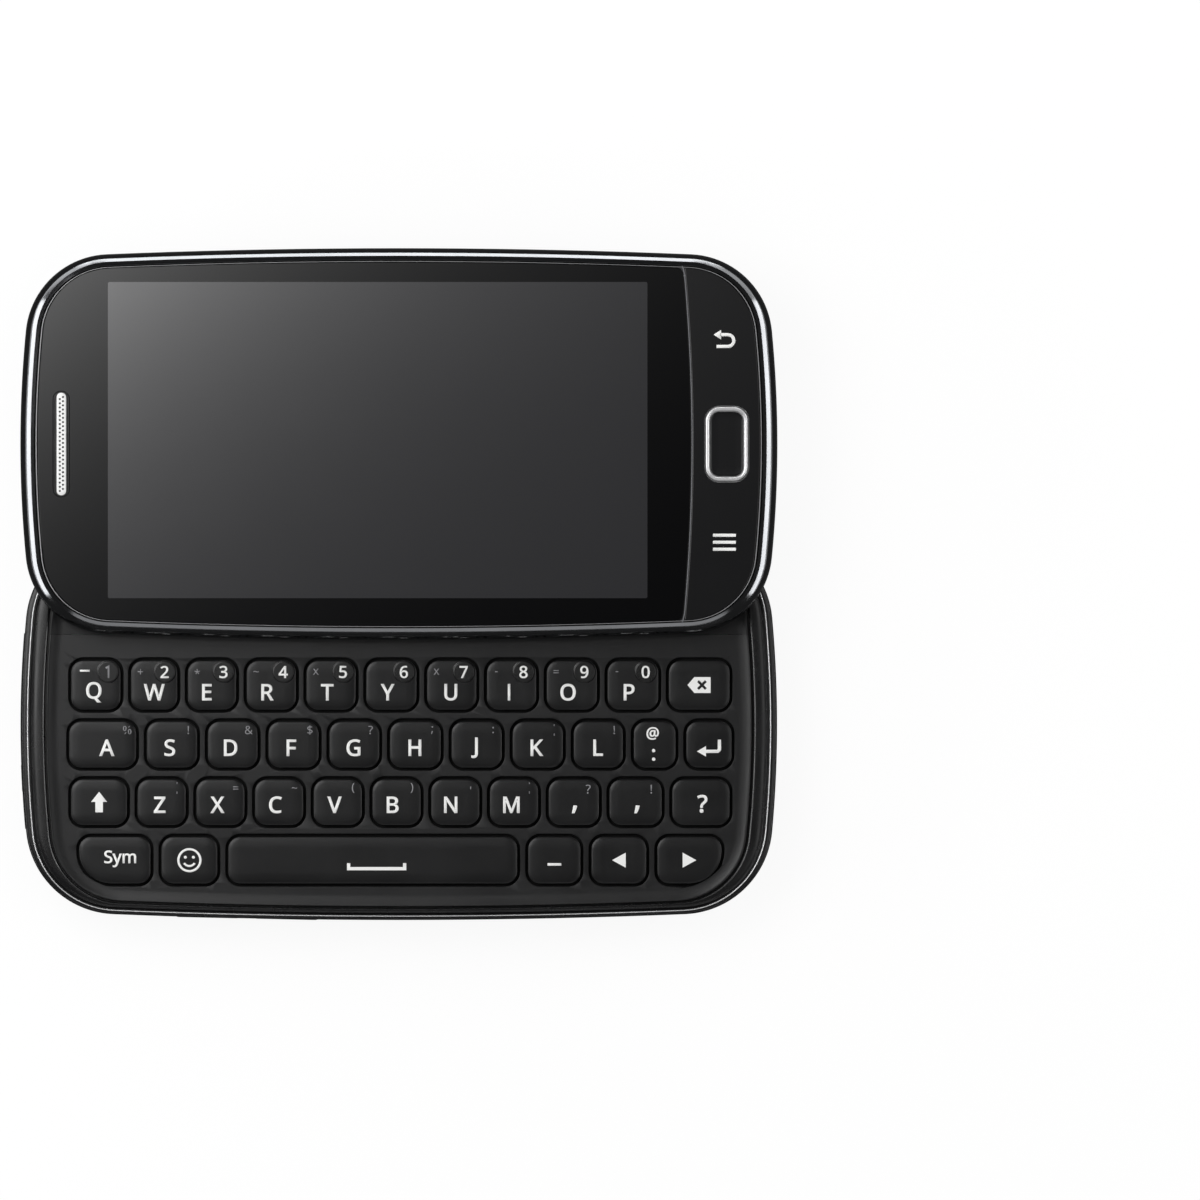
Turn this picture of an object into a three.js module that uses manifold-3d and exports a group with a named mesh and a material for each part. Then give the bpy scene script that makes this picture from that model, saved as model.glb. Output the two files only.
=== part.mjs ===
// A side-slider phone, shown open: a keyboard deck, and a display half that has slid off it
// along +Y on two T-shaped shoes. The phone lies on its back. +X is the right-hand end as it is
// held to type, +Z comes out of the screen, and the origin is the middle of the battery cover's
// flat back. All sizes are in millimetres.
import * as THREE from "three";
import { mergeVertices } from "three/addons/utils/BufferGeometryUtils.js";
import Module from "manifold-3d";

const wasm = await Module();
wasm.setup();

// Overall sizes
const phone_length = 116.1;
const phone_width = 60.1;
const deck_overlap = 17.1; // strip of the deck that the open display half still covers
const deck_corner_radius = 14;
const display_corner_radius = 13;
const long_edge_radius = 1080; // the long edges bow outward a little
const short_edge_radius = 180;

// Clearances
const seam_gap = 0.2; // between shells that are clipped together
const fit_gap = 0.3; // between pieces that move or are stacked
const cutter_overrun = 2;

// Battery cover, a shallow tray with a curved edge
const cover_wall = 1;
const cover_inset = 3.9; // from the deck's outline to the cover's edge
const cover_curve = 4.4; // plan width of the curved edge
const cover_drop = 1.6; // height of the cover's edge above its flat back

// Deck, from the cover upward
const floor_wall = 0.8;
const battery_thickness = 3.7;
const board_thickness = 0.6;
const mat_thickness = 0.5;
const stroke_gap = 0.35; // room under a key that is not pressed
const key_flange_thickness = 0.3;
const bezel_thickness = 0.65;
const rim_rise = 0.7; // rim over the bezel plate
const rim_end_width = 1.05;
const rim_side_width = 0.65;
const rim_groove = 0.2;
const band_drop = 0.3; // satin band under the rim
const plate_end_inset = 3.9; // from the deck's outline to the bezel plate
const plate_side_inset = 2.1;
const plate_lip_width = 1.6;
const plate_lip_rise = 0.3;
const ledge_width = 1.1; // shelf that the bezel plate lies on
const bezel_cover = 1.05; // bezel plate that runs on under the display half

// Keys
const keypad_end_margin = 7;
const keypad_shift = 0.2; // of the keys toward the home key end
const keypad_far_margin = 2.9; // from the display half's near edge to the first row
const keypad_near_margin = 5.4;
const key_gap = 1.2;
const row_gap = 1.35;
const key_clearance = 0.15; // each side of the line where key and bezel meet
const key_corner_radius = 2;
const corner_key_radius = 5.2; // outer corners of the bottom row
const key_flange_width = 0.45;
const key_recess = 0.15; // key tops under the rim
const key_crown = 0.08;
const key_crown_inset = 1.2;
const key_bevel = 0.25;

// Inner pieces of the deck
const board_end_inset = 7;
const board_side_inset = 6;
const battery_end_inset = 22;
const battery_side_inset = 10.05;
const battery_corner_radius = 2;
const camera_to_battery = 12;

// Camera
const camera_end_inset = 18.1;
const camera_side_inset = 16.05;
const camera_ring_size = 9.5;
const camera_ring_width = 1;
const camera_ring_radius = 3.3;
const camera_recess = 0.2;
const lens_radius = 2.05;
const lens_inner_radius = 1.6;
const lens_depth = 0.5;
const camera_body_step = 0.35; // camera body wider than its window, each side
const camera_surround = 0.8;
const camera_surround_depth = 0.25;

// Top end cap, power key and headphone socket
const end_cap_depth = 2.5;
const end_cap_proud = 0.15;
const end_cap_height = 4.6;
const end_cap_slant = 1.6;
const end_cap_below = 17; // reach past the middle of the end, towards the keys
const jack_radius = 2.1;
const jack_bore_radius = 1.75;
const power_key_length = 4.5;
const power_key_height = 1.9;
const power_key_offset = 8.25;
const power_key_proud = 0.3;

// Side keys and port door
const side_key_height = 2.6;
const side_key_bevel = 0.3;
const side_flange_length = 0.8;
const side_flange_thickness = 0.6;
const rocker_length = 21.8;
const rocker_end_inset = 34.65; // from the earpiece end to the rocker's middle
const rocker_proud = 0.4;
const rocker_dip_length = 2.7;
const rocker_dip_depth = 0.25;
const shutter_length = 9.8;
const shutter_end_inset = 35.55; // from the home key end to the key's middle
const shutter_proud = 0.6;
const port_door_length = 13.8;
const port_door_height = 3;
const port_door_thickness = 1.9;
const port_door_end_inset = 29.35;
const port_socket_length = 7.5;
const port_socket_height = 2.5;

// Pry notch at the home key end: a tongue of the housing lies in a scoop of the cover's edge
const scoop_length = 12.6; // at the cover's edge
const scoop_inner_length = 7.6;
const scoop_depth = 2.8;
const scoop_rounding = 1.5;
const scoop_root = 0.5; // how far the tongue reaches into the wall
const nail_slot_length = 7;
const nail_slot_depth = 0.9;
const nail_slot_height = 4; // from the cover's seam

// Slide
const slide_gap = 0.3; // between the two halves
const shoe_neck_width = 3;
const shoe_head_width = 6;
const shoe_head_thickness = 0.5;
const shoe_end_inset = 24;
const channel_lip = 0.7;
const channel_end_wall = 1.35;

// Display half
const carriage_thickness = 1.7;
const frame_wall = 3.2;
const lcd_thickness = 2.35;
const glass_thickness = 1.1;
const glass_drop = 0.25; // glass under the ring's crest
const glass_edge = 0.25;
const glass_end_inset = 2.45;
const glass_side_inset = 2.05;
const ring_roll = 0.93; // plan width of the ring's rounded shoulder
const lcd_side_inset = 5.3;
const lcd_left_inset = 10.5;
const lcd_right_inset = 17;
const divider_inset = 13.1; // from the home key end to the curved parting line
const divider_radius = 293;
const earpiece_length = 16.3;
const earpiece_width = 2.6;
const earpiece_inset = 6.35;
const earpiece_recess = 0.15;
const earpiece_round_share = 0.95; // corner radius as a share of half the slot's width
const home_key_length = 12.1;
const home_key_width = 6.6;
const home_key_radius = 2.2;
const home_key_inset = 7.8;
const home_key_proud = 0.12;
const home_ring_width = 0.7;
const home_cap_dip = 0.1;
const home_flange = 0.8;
const home_stem_width = 3;

// Heights over the flat back, and places in plan, that follow from the sizes
const half_length = phone_length / 2;
const half_width = phone_width / 2;
const slide_travel = phone_width - deck_overlap;
const battery_bottom = cover_wall + fit_gap;
const battery_top = battery_bottom + battery_thickness;
const board_bottom = battery_top + fit_gap;
const board_top = board_bottom + board_thickness;
const mat_bottom = board_top + seam_gap;
const mat_top = mat_bottom + mat_thickness;
const key_bottom = mat_top + stroke_gap;
const key_flange_top = key_bottom + key_flange_thickness;
const bezel_bottom = key_flange_top + fit_gap;
const bezel_top = bezel_bottom + bezel_thickness;
const deck_top = bezel_top + rim_rise;
const band_top = deck_top - band_drop;
const key_top = deck_top - key_recess;
const ledge_top = bezel_bottom - seam_gap;
const floor_bottom = cover_wall + fit_gap;
const floor_top = floor_bottom + floor_wall;
const seam_top = cover_drop + cover_wall + fit_gap;
const floor_edge_top = seam_top + floor_wall;
const side_key_middle = (floor_edge_top + ledge_top) / 2;
const jack_middle = (floor_top + bezel_bottom) / 2;
const seam_inset = cover_inset - seam_gap;
const wall_end_inset = plate_end_inset - seam_gap + ledge_width;
const wall_side_inset = plate_side_inset - seam_gap + ledge_width;

const display_bottom = deck_top + slide_gap;
const carriage_top = display_bottom + carriage_thickness;
const lcd_bottom = carriage_top + seam_gap;
const lcd_top = lcd_bottom + lcd_thickness;
const glass_bottom = lcd_top + seam_gap;
const glass_top = glass_bottom + glass_thickness;
const display_top = glass_top + glass_drop;
const shoe_head_bottom = display_bottom + channel_lip + fit_gap;
const shoe_head_top = shoe_head_bottom + shoe_head_thickness;
const shoe_length = deck_overlap - 2 * (frame_wall + seam_gap + channel_end_wall + fit_gap);
const shoe_x = half_length - shoe_end_inset;
const shoe_y = slide_travel / 2;

const keypad_far_edge = slide_travel - half_width - keypad_far_margin;
const keypad_near_edge = keypad_near_margin - half_width;
const keypad_half_length = half_length - keypad_end_margin;
const bezel_far_edge = slide_travel - half_width + bezel_cover;
const camera_x = camera_end_inset - half_length;
const camera_y = half_width - camera_side_inset;
const jack_y = keypad_far_edge + fit_gap + jack_radius;

const deck_plan = {
  half_length,
  half_width,
  long_radius: long_edge_radius,
  short_radius: short_edge_radius,
  corner_radius: deck_corner_radius,
};
const display_plan = { ...deck_plan, corner_radius: display_corner_radius };

// Curved edge of the cover: share of the curve's width from its rim, share of its drop
const cover_curve_shares = [
  [0, 1],
  [0.1, 0.7],
  [0.3, 0.38],
  [0.6, 0.12],
  [1, 0],
];

// Deck wall from the cover seam to the rim: share of the seam's inset, share of the wall's height
const deck_wall_shares = [
  [1, 0],
  [0.68, 0.13],
  [0.35, 0.3],
  [0.25, 0.34],
  [0.1, 0.5],
  [0.02, 0.66],
  [0, 0.86],
  [0.04, 0.94],
  [0.15, 1],
];

// Display ring from its foot to its crest: share of the shoulder's width, share of the height
const ring_wall_shares = [
  [0.9, 0],
  [0.25, 0.09],
  [0, 0.3],
  [0, 0.62],
  [0.25, 0.82],
  [0.62, 0.925],
  [1.02, 0.975],
  [1.45, 1],
];

// Key rows from the far one to the near one, with each key's share of its row
const row_height_shares = [52, 49, 48.5, 49.5];
const width_shares = (letters, shares) => [...letters].map((letter, i) => [letter, shares[i]]);
const key_rows = [
  {
    length_share: 0.994,
    gap_share: 1,
    keys: [...width_shares("qwertyuiop", [52, 49, 51, 52, 52, 53, 52, 52, 53, 53.5]), ["backspace", 63.5]],
  },
  {
    length_share: 1,
    gap_share: 1.03,
    keys: [
      ...width_shares("asdfghjkl", [69.5, 53, 52.5, 53, 52.5, 53.5, 53, 53, 52]),
      ["at", 44.5],
      ["enter", 48],
    ],
  },
  {
    length_share: 0.994,
    gap_share: 1,
    keys: [
      ["shift", 58.5],
      ...width_shares("zxcvbnm", Array(7).fill(50.9)),
      ["comma", 53],
      ["period", 55],
      ["question", 60],
    ],
  },
  {
    length_share: 0.97,
    gap_share: 1.06,
    keys: [
      ["sym", 74],
      ["smiley", 58.5],
      ["space", 291.5],
      ["dash", 55],
      ["left", 57.5],
      ["right", 67],
    ],
  },
];

// Plans and sections
const steps_per_corner = 7;
const steps_per_edge = 2;

function arcPoints(centre, radius, from, to, steps) {
  return Array.from({ length: steps + 1 }, (_, i) => {
    const angle = from + ((to - from) * i) / steps;
    return new THREE.Vector2(centre.x + radius * Math.cos(angle), centre.y + radius * Math.sin(angle));
  });
}

// One half's outline: two long and two short bowed edges joined by tangent corner arcs
function outline(plan) {
  const long_centre = new THREE.Vector2(0, plan.half_width - plan.long_radius);
  const short_centre = new THREE.Vector2(plan.half_length - plan.short_radius, 0);
  const long_reach = plan.long_radius - plan.corner_radius;
  const short_reach = plan.short_radius - plan.corner_radius;
  const between = short_centre.clone().sub(long_centre);
  const distance = between.length();
  const along = (long_reach ** 2 - short_reach ** 2 + distance ** 2) / (2 * distance);
  const across = Math.sqrt(long_reach ** 2 - along ** 2);
  const unit = between.divideScalar(distance);
  const corner = new THREE.Vector2(
    long_centre.x + along * unit.x + across * unit.y,
    long_centre.y + along * unit.y - across * unit.x,
  );
  const long_turn = Math.atan2(corner.y - long_centre.y, corner.x - long_centre.x);
  const short_turn = Math.atan2(corner.y - short_centre.y, corner.x - short_centre.x);
  const quadrant = [
    ...arcPoints(short_centre, plan.short_radius, 0, short_turn, steps_per_edge).slice(0, -1),
    ...arcPoints(corner, plan.corner_radius, short_turn, long_turn, steps_per_corner),
    ...arcPoints(long_centre, plan.long_radius, long_turn, Math.PI / 2, steps_per_edge).slice(1),
  ];
  const mirrored = (points, x, y) => points.map((p) => new THREE.Vector2(x * p.x, y * p.y));
  return [
    ...quadrant,
    ...mirrored(quadrant.slice(0, -1).reverse(), -1, 1),
    ...mirrored(quadrant.slice(1), -1, -1),
    ...mirrored(quadrant.slice(1, -1).reverse(), 1, -1),
  ];
}

// The same outline drawn in by one distance at the ends and another at the long sides
function shrink(plan, end, side = end) {
  return {
    half_length: plan.half_length - end,
    half_width: plan.half_width - side,
    long_radius: plan.long_radius - side,
    short_radius: plan.short_radius - end,
    corner_radius: plan.corner_radius - (end + side) / 2,
  };
}

// Rectangle with its own radius at each corner: far right, far left, near left, near right
function roundedRectangle(left, right, near, far, radii, steps = [2, 2, 2, 2]) {
  const [far_right, far_left, near_left, near_right] = Array.isArray(radii) ? radii : Array(4).fill(radii);
  const corner = (x, y, radius, turn) =>
    arcPoints(
      new THREE.Vector2(x, y),
      radius,
      (turn * Math.PI) / 2,
      ((turn + 1) * Math.PI) / 2,
      steps[turn],
    );
  return [
    ...corner(right - far_right, far - far_right, far_right, 0),
    ...corner(left + far_left, far - far_left, far_left, 1),
    ...corner(left + near_left, near + near_left, near_left, 2),
    ...corner(right - near_right, near + near_right, near_right, 3),
  ];
}

const centredRectangle = (length, width, radius) =>
  roundedRectangle(-length / 2, length / 2, -width / 2, width / 2, radius);

const ring = (points, z) => points.map((p) => new THREE.Vector3(p.x, p.y, z));
const planRing = (plan, end, side, z) => ring(outline(shrink(plan, end, side)), z);

// Closed skin through rings of equal point count: capped at both ends, or joined end to start
function loft(rings, closed_loop = false) {
  const count = rings[0].length;
  const indices = [];
  const strips = closed_loop ? rings.length : rings.length - 1;
  for (let strip = 0; strip < strips; strip++) {
    const low = strip * count;
    const high = ((strip + 1) % rings.length) * count;
    for (let i = 0; i < count; i++) {
      const next = (i + 1) % count;
      indices.push(low + i, low + next, high + next, low + i, high + next, high + i);
    }
  }
  if (!closed_loop) {
    const last = rings.length - 1;
    const flat = (points) => points.map((p) => new THREE.Vector2(p.x, p.y));
    for (const [a, b, c] of THREE.ShapeUtils.triangulateShape(flat(rings[0]), [])) indices.push(c, b, a);
    for (const [a, b, c] of THREE.ShapeUtils.triangulateShape(flat(rings[last]), [])) {
      indices.push(last * count + a, last * count + b, last * count + c);
    }
  }
  const geometry = new THREE.BufferGeometry().setFromPoints(rings.flat());
  geometry.setIndex(indices);
  return geometry;
}

function prism(points, bottom, top) {
  const shape = new THREE.Shape(points);
  const geometry = new THREE.ExtrudeGeometry(shape, { depth: top - bottom, bevelEnabled: false });
  return geometry.translate(0, 0, bottom);
}

const block = (left, right, near, far, bottom, top) =>
  new THREE.BoxGeometry(right - left, far - near, top - bottom).translate(
    (left + right) / 2,
    (near + far) / 2,
    (bottom + top) / 2,
  );

// Joining and cutting
function solid(geometry) {
  const bare = geometry.clone();
  bare.deleteAttribute("normal");
  bare.deleteAttribute("uv");
  const merged = mergeVertices(bare);
  const mesh = new wasm.Mesh({
    numProp: 3,
    vertProperties: new Float32Array(merged.attributes.position.array),
    triVerts: new Uint32Array(merged.index.array),
  });
  return new wasm.Manifold(mesh);
}

function geometryOf(body) {
  const mesh = body.getMesh();
  const geometry = new THREE.BufferGeometry();
  geometry.setAttribute("position", new THREE.BufferAttribute(new Float32Array(mesh.vertProperties), 3));
  geometry.setIndex(new THREE.BufferAttribute(new Uint32Array(mesh.triVerts), 1));
  return geometry;
}

const joined = (geometries) => geometries.map(solid).reduce((sum, body) => sum.add(body));
const cut = (geometry, cutters) => geometryOf(solid(geometry).subtract(joined(cutters)));
const common = (geometry, region) => geometryOf(solid(geometry).intersect(solid(region)));
const fused = (geometries) => geometryOf(joined(geometries));

// Places on the deck's edge: a point of the outline, and the way out from it as a turn about Z
function longSidePlace(x, side) {
  const lean = Math.asin(x / long_edge_radius);
  const y = half_width - long_edge_radius * (1 - Math.cos(lean));
  return { x, y: side * y, turn: side > 0 ? -lean : Math.PI + lean };
}

function earpieceEndPlace(y) {
  const lean = Math.asin(y / short_edge_radius);
  const x = half_length - short_edge_radius * (1 - Math.cos(lean));
  return { x: -x, y, turn: Math.PI / 2 - lean };
}

// Moves a form drawn with +Y as the way out to a place on the edge
function atPlace(geometry, place) {
  return geometry.clone().rotateZ(place.turn).translate(place.x, place.y, 0);
}

// Deck
const deckShell = (proud = 0) =>
  loft(
    deck_wall_shares.map(([inset_share, rise_share]) =>
      planRing(
        deck_plan,
        seam_inset * inset_share - proud,
        seam_inset * inset_share - proud,
        cover_drop + rise_share * (deck_top - cover_drop),
      ),
    ),
  );

const cameraSquare = (size) => {
  const radius = Math.max(camera_ring_radius - (camera_ring_size - size) / 2, fit_gap);
  return centredRectangle(size, size, radius).map((p) => p.add(new THREE.Vector2(camera_x, camera_y)));
};
const camera_hole_size = camera_ring_size - 2 * camera_ring_width;
const camera_window_size = camera_hole_size - 2 * seam_gap;
const camera_body_size = camera_window_size + 2 * camera_body_step;

const batteryPlan = (margin) =>
  roundedRectangle(
    camera_x + camera_ring_size / 2 + camera_to_battery - margin,
    half_length - battery_end_inset + margin,
    battery_side_inset - half_width - margin,
    half_width - battery_side_inset + margin,
    battery_corner_radius + margin,
  );

function batteryCover() {
  const outside = cover_curve_shares.map(([out, rise]) => [cover_inset + out * cover_curve, rise * cover_drop]);
  const inside = outside.map(([inset, z]) => [inset + cover_wall, z + cover_wall]);
  const rim = [cover_inset, cover_drop + cover_wall];
  const path = [...outside.reverse(), rim, ...inside];
  const tray = loft(path.map(([inset, z]) => planRing(deck_plan, inset, inset, z)));
  return cut(tray, [
    prism(cameraSquare(camera_ring_size + 2 * seam_gap), -cutter_overrun, cover_wall + cutter_overrun),
    prism(cameraSquare(camera_ring_size + 2 * camera_surround), -cutter_overrun, camera_surround_depth),
    scoopRegion(0),
  ]);
}

// End cap: a strip let into the wall at the earpiece end, with slanted ends
function endCapRegion(margin) {
  const near = -end_cap_below - margin;
  const far = jack_y + jack_radius + fit_gap + margin;
  const outer = -half_length - cutter_overrun;
  const inner = end_cap_depth - half_length + margin;
  const slant = end_cap_slant;
  const corners = [
    [outer, near],
    [inner, near + slant],
    [inner, far - slant],
    [outer, far],
  ];
  const points = corners.map(([x, y]) => new THREE.Vector2(x, y));
  return prism(points, jack_middle - end_cap_height / 2 - margin, jack_middle + end_cap_height / 2 + margin);
}

const jackBore = () =>
  new THREE.CylinderGeometry(jack_bore_radius, jack_bore_radius, wall_end_inset + 2 * cutter_overrun, 16)
    .rotateZ(Math.PI / 2)
    .translate(wall_end_inset / 2 - half_length, jack_y, jack_middle);

// A key that is pressed into the wall, drawn with its own middle at the outline and +Y outward:
// its retaining flange lies against the inside of the wall
function sideKey({ length, height, proud, wall }) {
  const flange_outer = -wall - fit_gap;
  const flange_inner = flange_outer - side_flange_thickness;
  const body = centredRectangle(length, height, height / 2 - side_key_bevel / 2);
  const flange = centredRectangle(length + 2 * side_flange_length, height, height / 2 - side_key_bevel / 2);
  const face = centredRectangle(length - 2 * side_key_bevel, height - 2 * side_key_bevel, height / 2 - side_key_bevel);
  const rings = [
    ring(flange, flange_inner),
    ring(flange, flange_outer),
    ring(body, flange_outer),
    ring(body, proud - side_key_bevel),
    ring(face, proud),
  ];
  return loft(rings).rotateX(-Math.PI / 2);
}

function sideKeyHole({ length, height, wall }) {
  const shape = centredRectangle(
    length + 2 * seam_gap,
    height + 2 * seam_gap,
    height / 2 + seam_gap - side_key_bevel / 2,
  );
  return prism(shape, -wall - cutter_overrun / 2, cutter_overrun)
    .rotateX(-Math.PI / 2)
    .translate(0, 0, side_key_middle);
}

const rocker = { length: rocker_length, height: side_key_height, proud: rocker_proud, wall: wall_side_inset };
const rocker_place = longSidePlace(rocker_end_inset - half_length, -1);
const shutter = { length: shutter_length, height: side_key_height, proud: shutter_proud, wall: wall_side_inset };
const shutter_place = longSidePlace(half_length - shutter_end_inset, 1);
const power = {
  length: power_key_length,
  height: power_key_height,
  proud: power_key_proud,
  wall: wall_end_inset,
};
const power_place = earpieceEndPlace(-power_key_offset);

function volumeRocker() {
  const half = rocker_dip_length / 2;
  const dip = block(-half, half, rocker_proud - rocker_dip_depth, cutter_overrun, -side_key_height, side_key_height);
  return cut(sideKey(rocker), [dip]);
}

// Door over the charging port, cut from the wall itself so that it lies flush with it
const port_place = longSidePlace(port_door_end_inset - half_length, 1);
const portBlock = (length, height, inner, outer) =>
  atPlace(
    block(-length / 2, length / 2, inner, outer, side_key_middle - height / 2, side_key_middle + height / 2),
    port_place,
  );
const portDoor = () =>
  common(deckShell(), portBlock(port_door_length, port_door_height, -port_door_thickness, cutter_overrun));
const portDoorPocket = () =>
  portBlock(
    port_door_length + 2 * seam_gap,
    port_door_height + 2 * seam_gap,
    -port_door_thickness - seam_gap,
    cutter_overrun,
  );
const portSocketHole = () =>
  portBlock(
    port_socket_length + 2 * seam_gap,
    port_socket_height + 2 * seam_gap,
    -wall_side_inset - cutter_overrun,
    cutter_overrun,
  );

// Scoop of the cover's edge, drawn in plan and widened by a margin
function scoopRegion(margin) {
  const edge = half_length - cover_inset;
  const slope = (scoop_length - scoop_inner_length) / (2 * scoop_depth);
  const halfWidth = (x) => scoop_length / 2 + slope * (x - edge) + margin * Math.hypot(1, slope);
  const outer = half_length + cutter_overrun;
  const inner = edge - scoop_depth - margin;
  const bend = inner + scoop_rounding;
  const straight = halfWidth(inner) - scoop_rounding;
  const shape = new THREE.Shape();
  shape.moveTo(outer, -halfWidth(outer));
  shape.lineTo(outer, halfWidth(outer));
  shape.lineTo(bend, halfWidth(bend));
  shape.quadraticCurveTo(inner, halfWidth(inner), inner, straight);
  shape.lineTo(inner, -straight);
  shape.quadraticCurveTo(inner, -halfWidth(inner), bend, -halfWidth(bend));
  const points = shape.getPoints(steps_per_corner);
  return prism(points, -cutter_overrun, seam_top + cutter_overrun);
}

// Tongue that fills the scoop, flush with the curve of the cover
function pryTongue() {
  const curve = cover_curve_shares.map(([out, rise]) => [cover_inset + out * cover_curve, rise * cover_drop]);
  const root = seam_inset - scoop_root;
  const path = [
    ...curve.reverse(),
    [seam_inset, cover_drop],
    [root, cover_drop + scoop_root + seam_gap],
    [root, seam_top + seam_gap / 2],
  ];
  return common(loft(path.map(([inset, z]) => planRing(deck_plan, inset, inset, z))), scoopRegion(-seam_gap));
}

// Slot in the wall where a fingernail lifts the cover
const nailSlot = () =>
  block(
    half_length - nail_slot_depth,
    half_length + cutter_overrun,
    -nail_slot_length / 2,
    nail_slot_length / 2,
    cover_drop - cutter_overrun,
    cover_drop + nail_slot_height,
  );

function lowerHousing() {
  const under = cover_curve_shares
    .filter((_, i) => i % 2 === 0)
    .map(([out, rise]) => [cover_inset + cover_wall + out * cover_curve, floor_bottom + rise * cover_drop])
    .reverse();
  const wall = deck_wall_shares.map(([inset_share, rise_share]) => [
    seam_inset * inset_share,
    cover_drop + rise_share * (deck_top - cover_drop),
  ]);
  const even = ([inset, z]) => [inset, inset, z];
  const opening = [plate_end_inset - seam_gap, plate_side_inset - seam_gap];
  const path = [
    ...under.map(even),
    even([seam_inset, seam_top]),
    ...wall.map(even),
    [rim_end_width, rim_side_width, deck_top],
    [rim_end_width + rim_groove, rim_side_width + rim_groove, band_top],
    [...opening, band_top],
    [...opening, ledge_top],
    [wall_end_inset, wall_side_inset, ledge_top],
    [wall_end_inset, wall_side_inset, floor_edge_top],
    even([cover_inset + cover_wall + cover_curve, floor_top]),
  ];
  const shell = loft(path.map(([end, side, z]) => planRing(deck_plan, end, side, z)));
  return cut(fused([shell, pryTongue()]), [
    prism(batteryPlan(fit_gap), 0, board_bottom),
    prism(cameraSquare(camera_body_size + 2 * fit_gap), 0, board_bottom),
    atPlace(sideKeyHole(rocker), rocker_place),
    atPlace(sideKeyHole(shutter), shutter_place),
    atPlace(sideKeyHole(power), power_place),
    portDoorPocket(),
    portSocketHole(),
    endCapRegion(seam_gap),
    jackBore(),
    nailSlot(),
  ]);
}

const topEndCap = () =>
  cut(common(deckShell(end_cap_proud), endCapRegion(0)), [
    atPlace(sideKeyHole(power), power_place),
    jackBore(),
  ]);

// Main board with the charging socket and the headphone socket soldered on
function mainBoard() {
  const board = prism(outline(shrink(deck_plan, board_end_inset, board_side_inset)), board_bottom, board_top);
  const charging = portBlock(
    port_socket_length,
    port_socket_height,
    -board_side_inset - port_socket_height,
    -port_door_thickness - seam_gap - fit_gap,
  );
  const jack_left = cover_inset + cover_wall + cover_curve - half_length;
  const jack_right = camera_x - camera_body_size / 2 - fit_gap;
  const headphone = new THREE.CylinderGeometry(jack_radius, jack_radius, jack_right - jack_left, 12)
    .rotateZ(Math.PI / 2)
    .translate((jack_left + jack_right) / 2, jack_y, jack_middle);
  return fused([board, charging, headphone]);
}

const batteryPack = () => prism(batteryPlan(0), battery_bottom, battery_top);

function cameraTrimRing() {
  const outer = cameraSquare(camera_ring_size);
  const crest = cameraSquare(camera_ring_size - camera_ring_width);
  const inner = cameraSquare(camera_hole_size);
  const top = floor_bottom - seam_gap;
  const shoulder = camera_recess * 2;
  const rings = [
    ring(inner, shoulder),
    ring(crest, camera_recess),
    ring(outer, shoulder),
    ring(outer, top),
    ring(inner, top),
  ];
  return loft(rings, true);
}

// Camera behind its window, with the well that narrows to the lens
function cameraModule() {
  const window = cameraSquare(camera_window_size);
  const body = cameraSquare(camera_body_size);
  const window_bottom = camera_recess * 3;
  const module = loft([
    ring(window, window_bottom),
    ring(window, floor_bottom),
    ring(body, floor_bottom),
    ring(body, battery_top),
  ]);
  const well = new THREE.CylinderGeometry(lens_radius, lens_inner_radius, lens_depth, 20)
    .rotateX(-Math.PI / 2)
    .translate(camera_x, camera_y, window_bottom + lens_depth / 2);
  return cut(module, [well]);
}

// Keys: each has the line where it meets the bezel, and its own corner radii
function keyLayout() {
  const height_total = row_height_shares.reduce((sum, share) => sum + share);
  const depth = keypad_far_edge - keypad_near_edge - row_gap * (key_rows.length - 1);
  const layout = [];
  let far = keypad_far_edge;
  key_rows.forEach((row, row_index) => {
    const near = far - (depth * row_height_shares[row_index]) / height_total;
    const gap = key_gap * row.gap_share;
    const row_length = 2 * keypad_half_length * row.length_share;
    const share_total = row.keys.reduce((sum, [, share]) => sum + share, 0);
    const unit = (row_length - gap * (row.keys.length - 1)) / share_total;
    let left = keypad_shift - row_length / 2;
    row.keys.forEach(([name, share]) => {
      const right = left + unit * share;
      const radii = Array(4).fill(key_corner_radius);
      const steps = [2, 2, 2, 2];
      const outer_corner = { sym: 2, right: 3 }[name];
      if (outer_corner) {
        radii[outer_corner] = Math.min(corner_key_radius, far - near - key_corner_radius - key_bevel);
        steps[outer_corner] = 5;
      }
      layout.push({ name, left, right, near, far, radii, steps });
      left = right + gap;
    });
    far = near - row_gap;
  });
  return layout;
}

function keyOutline(key, grow) {
  return roundedRectangle(
    key.left - grow,
    key.right + grow,
    key.near - grow,
    key.far + grow,
    key.radii.map((radius) => Math.max(radius + grow, key_bevel)),
    key.steps,
  );
}

// A key cap with its retaining flange under the bezel and a slightly crowned top
function keyCap(key) {
  const edge = -key_clearance;
  const bevelled = edge - key_bevel;
  return loft([
    ring(keyOutline(key, edge + key_flange_width), key_bottom),
    ring(keyOutline(key, edge + key_flange_width), key_flange_top),
    ring(keyOutline(key, edge), key_flange_top),
    ring(keyOutline(key, edge), key_top - key_crown - key_bevel),
    ring(keyOutline(key, bevelled), key_top - key_crown),
    ring(keyOutline(key, bevelled - key_crown_inset), key_top),
  ]);
}

const plateOutline = (inset) => shrink(deck_plan, plate_end_inset + inset, plate_side_inset + inset);

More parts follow.
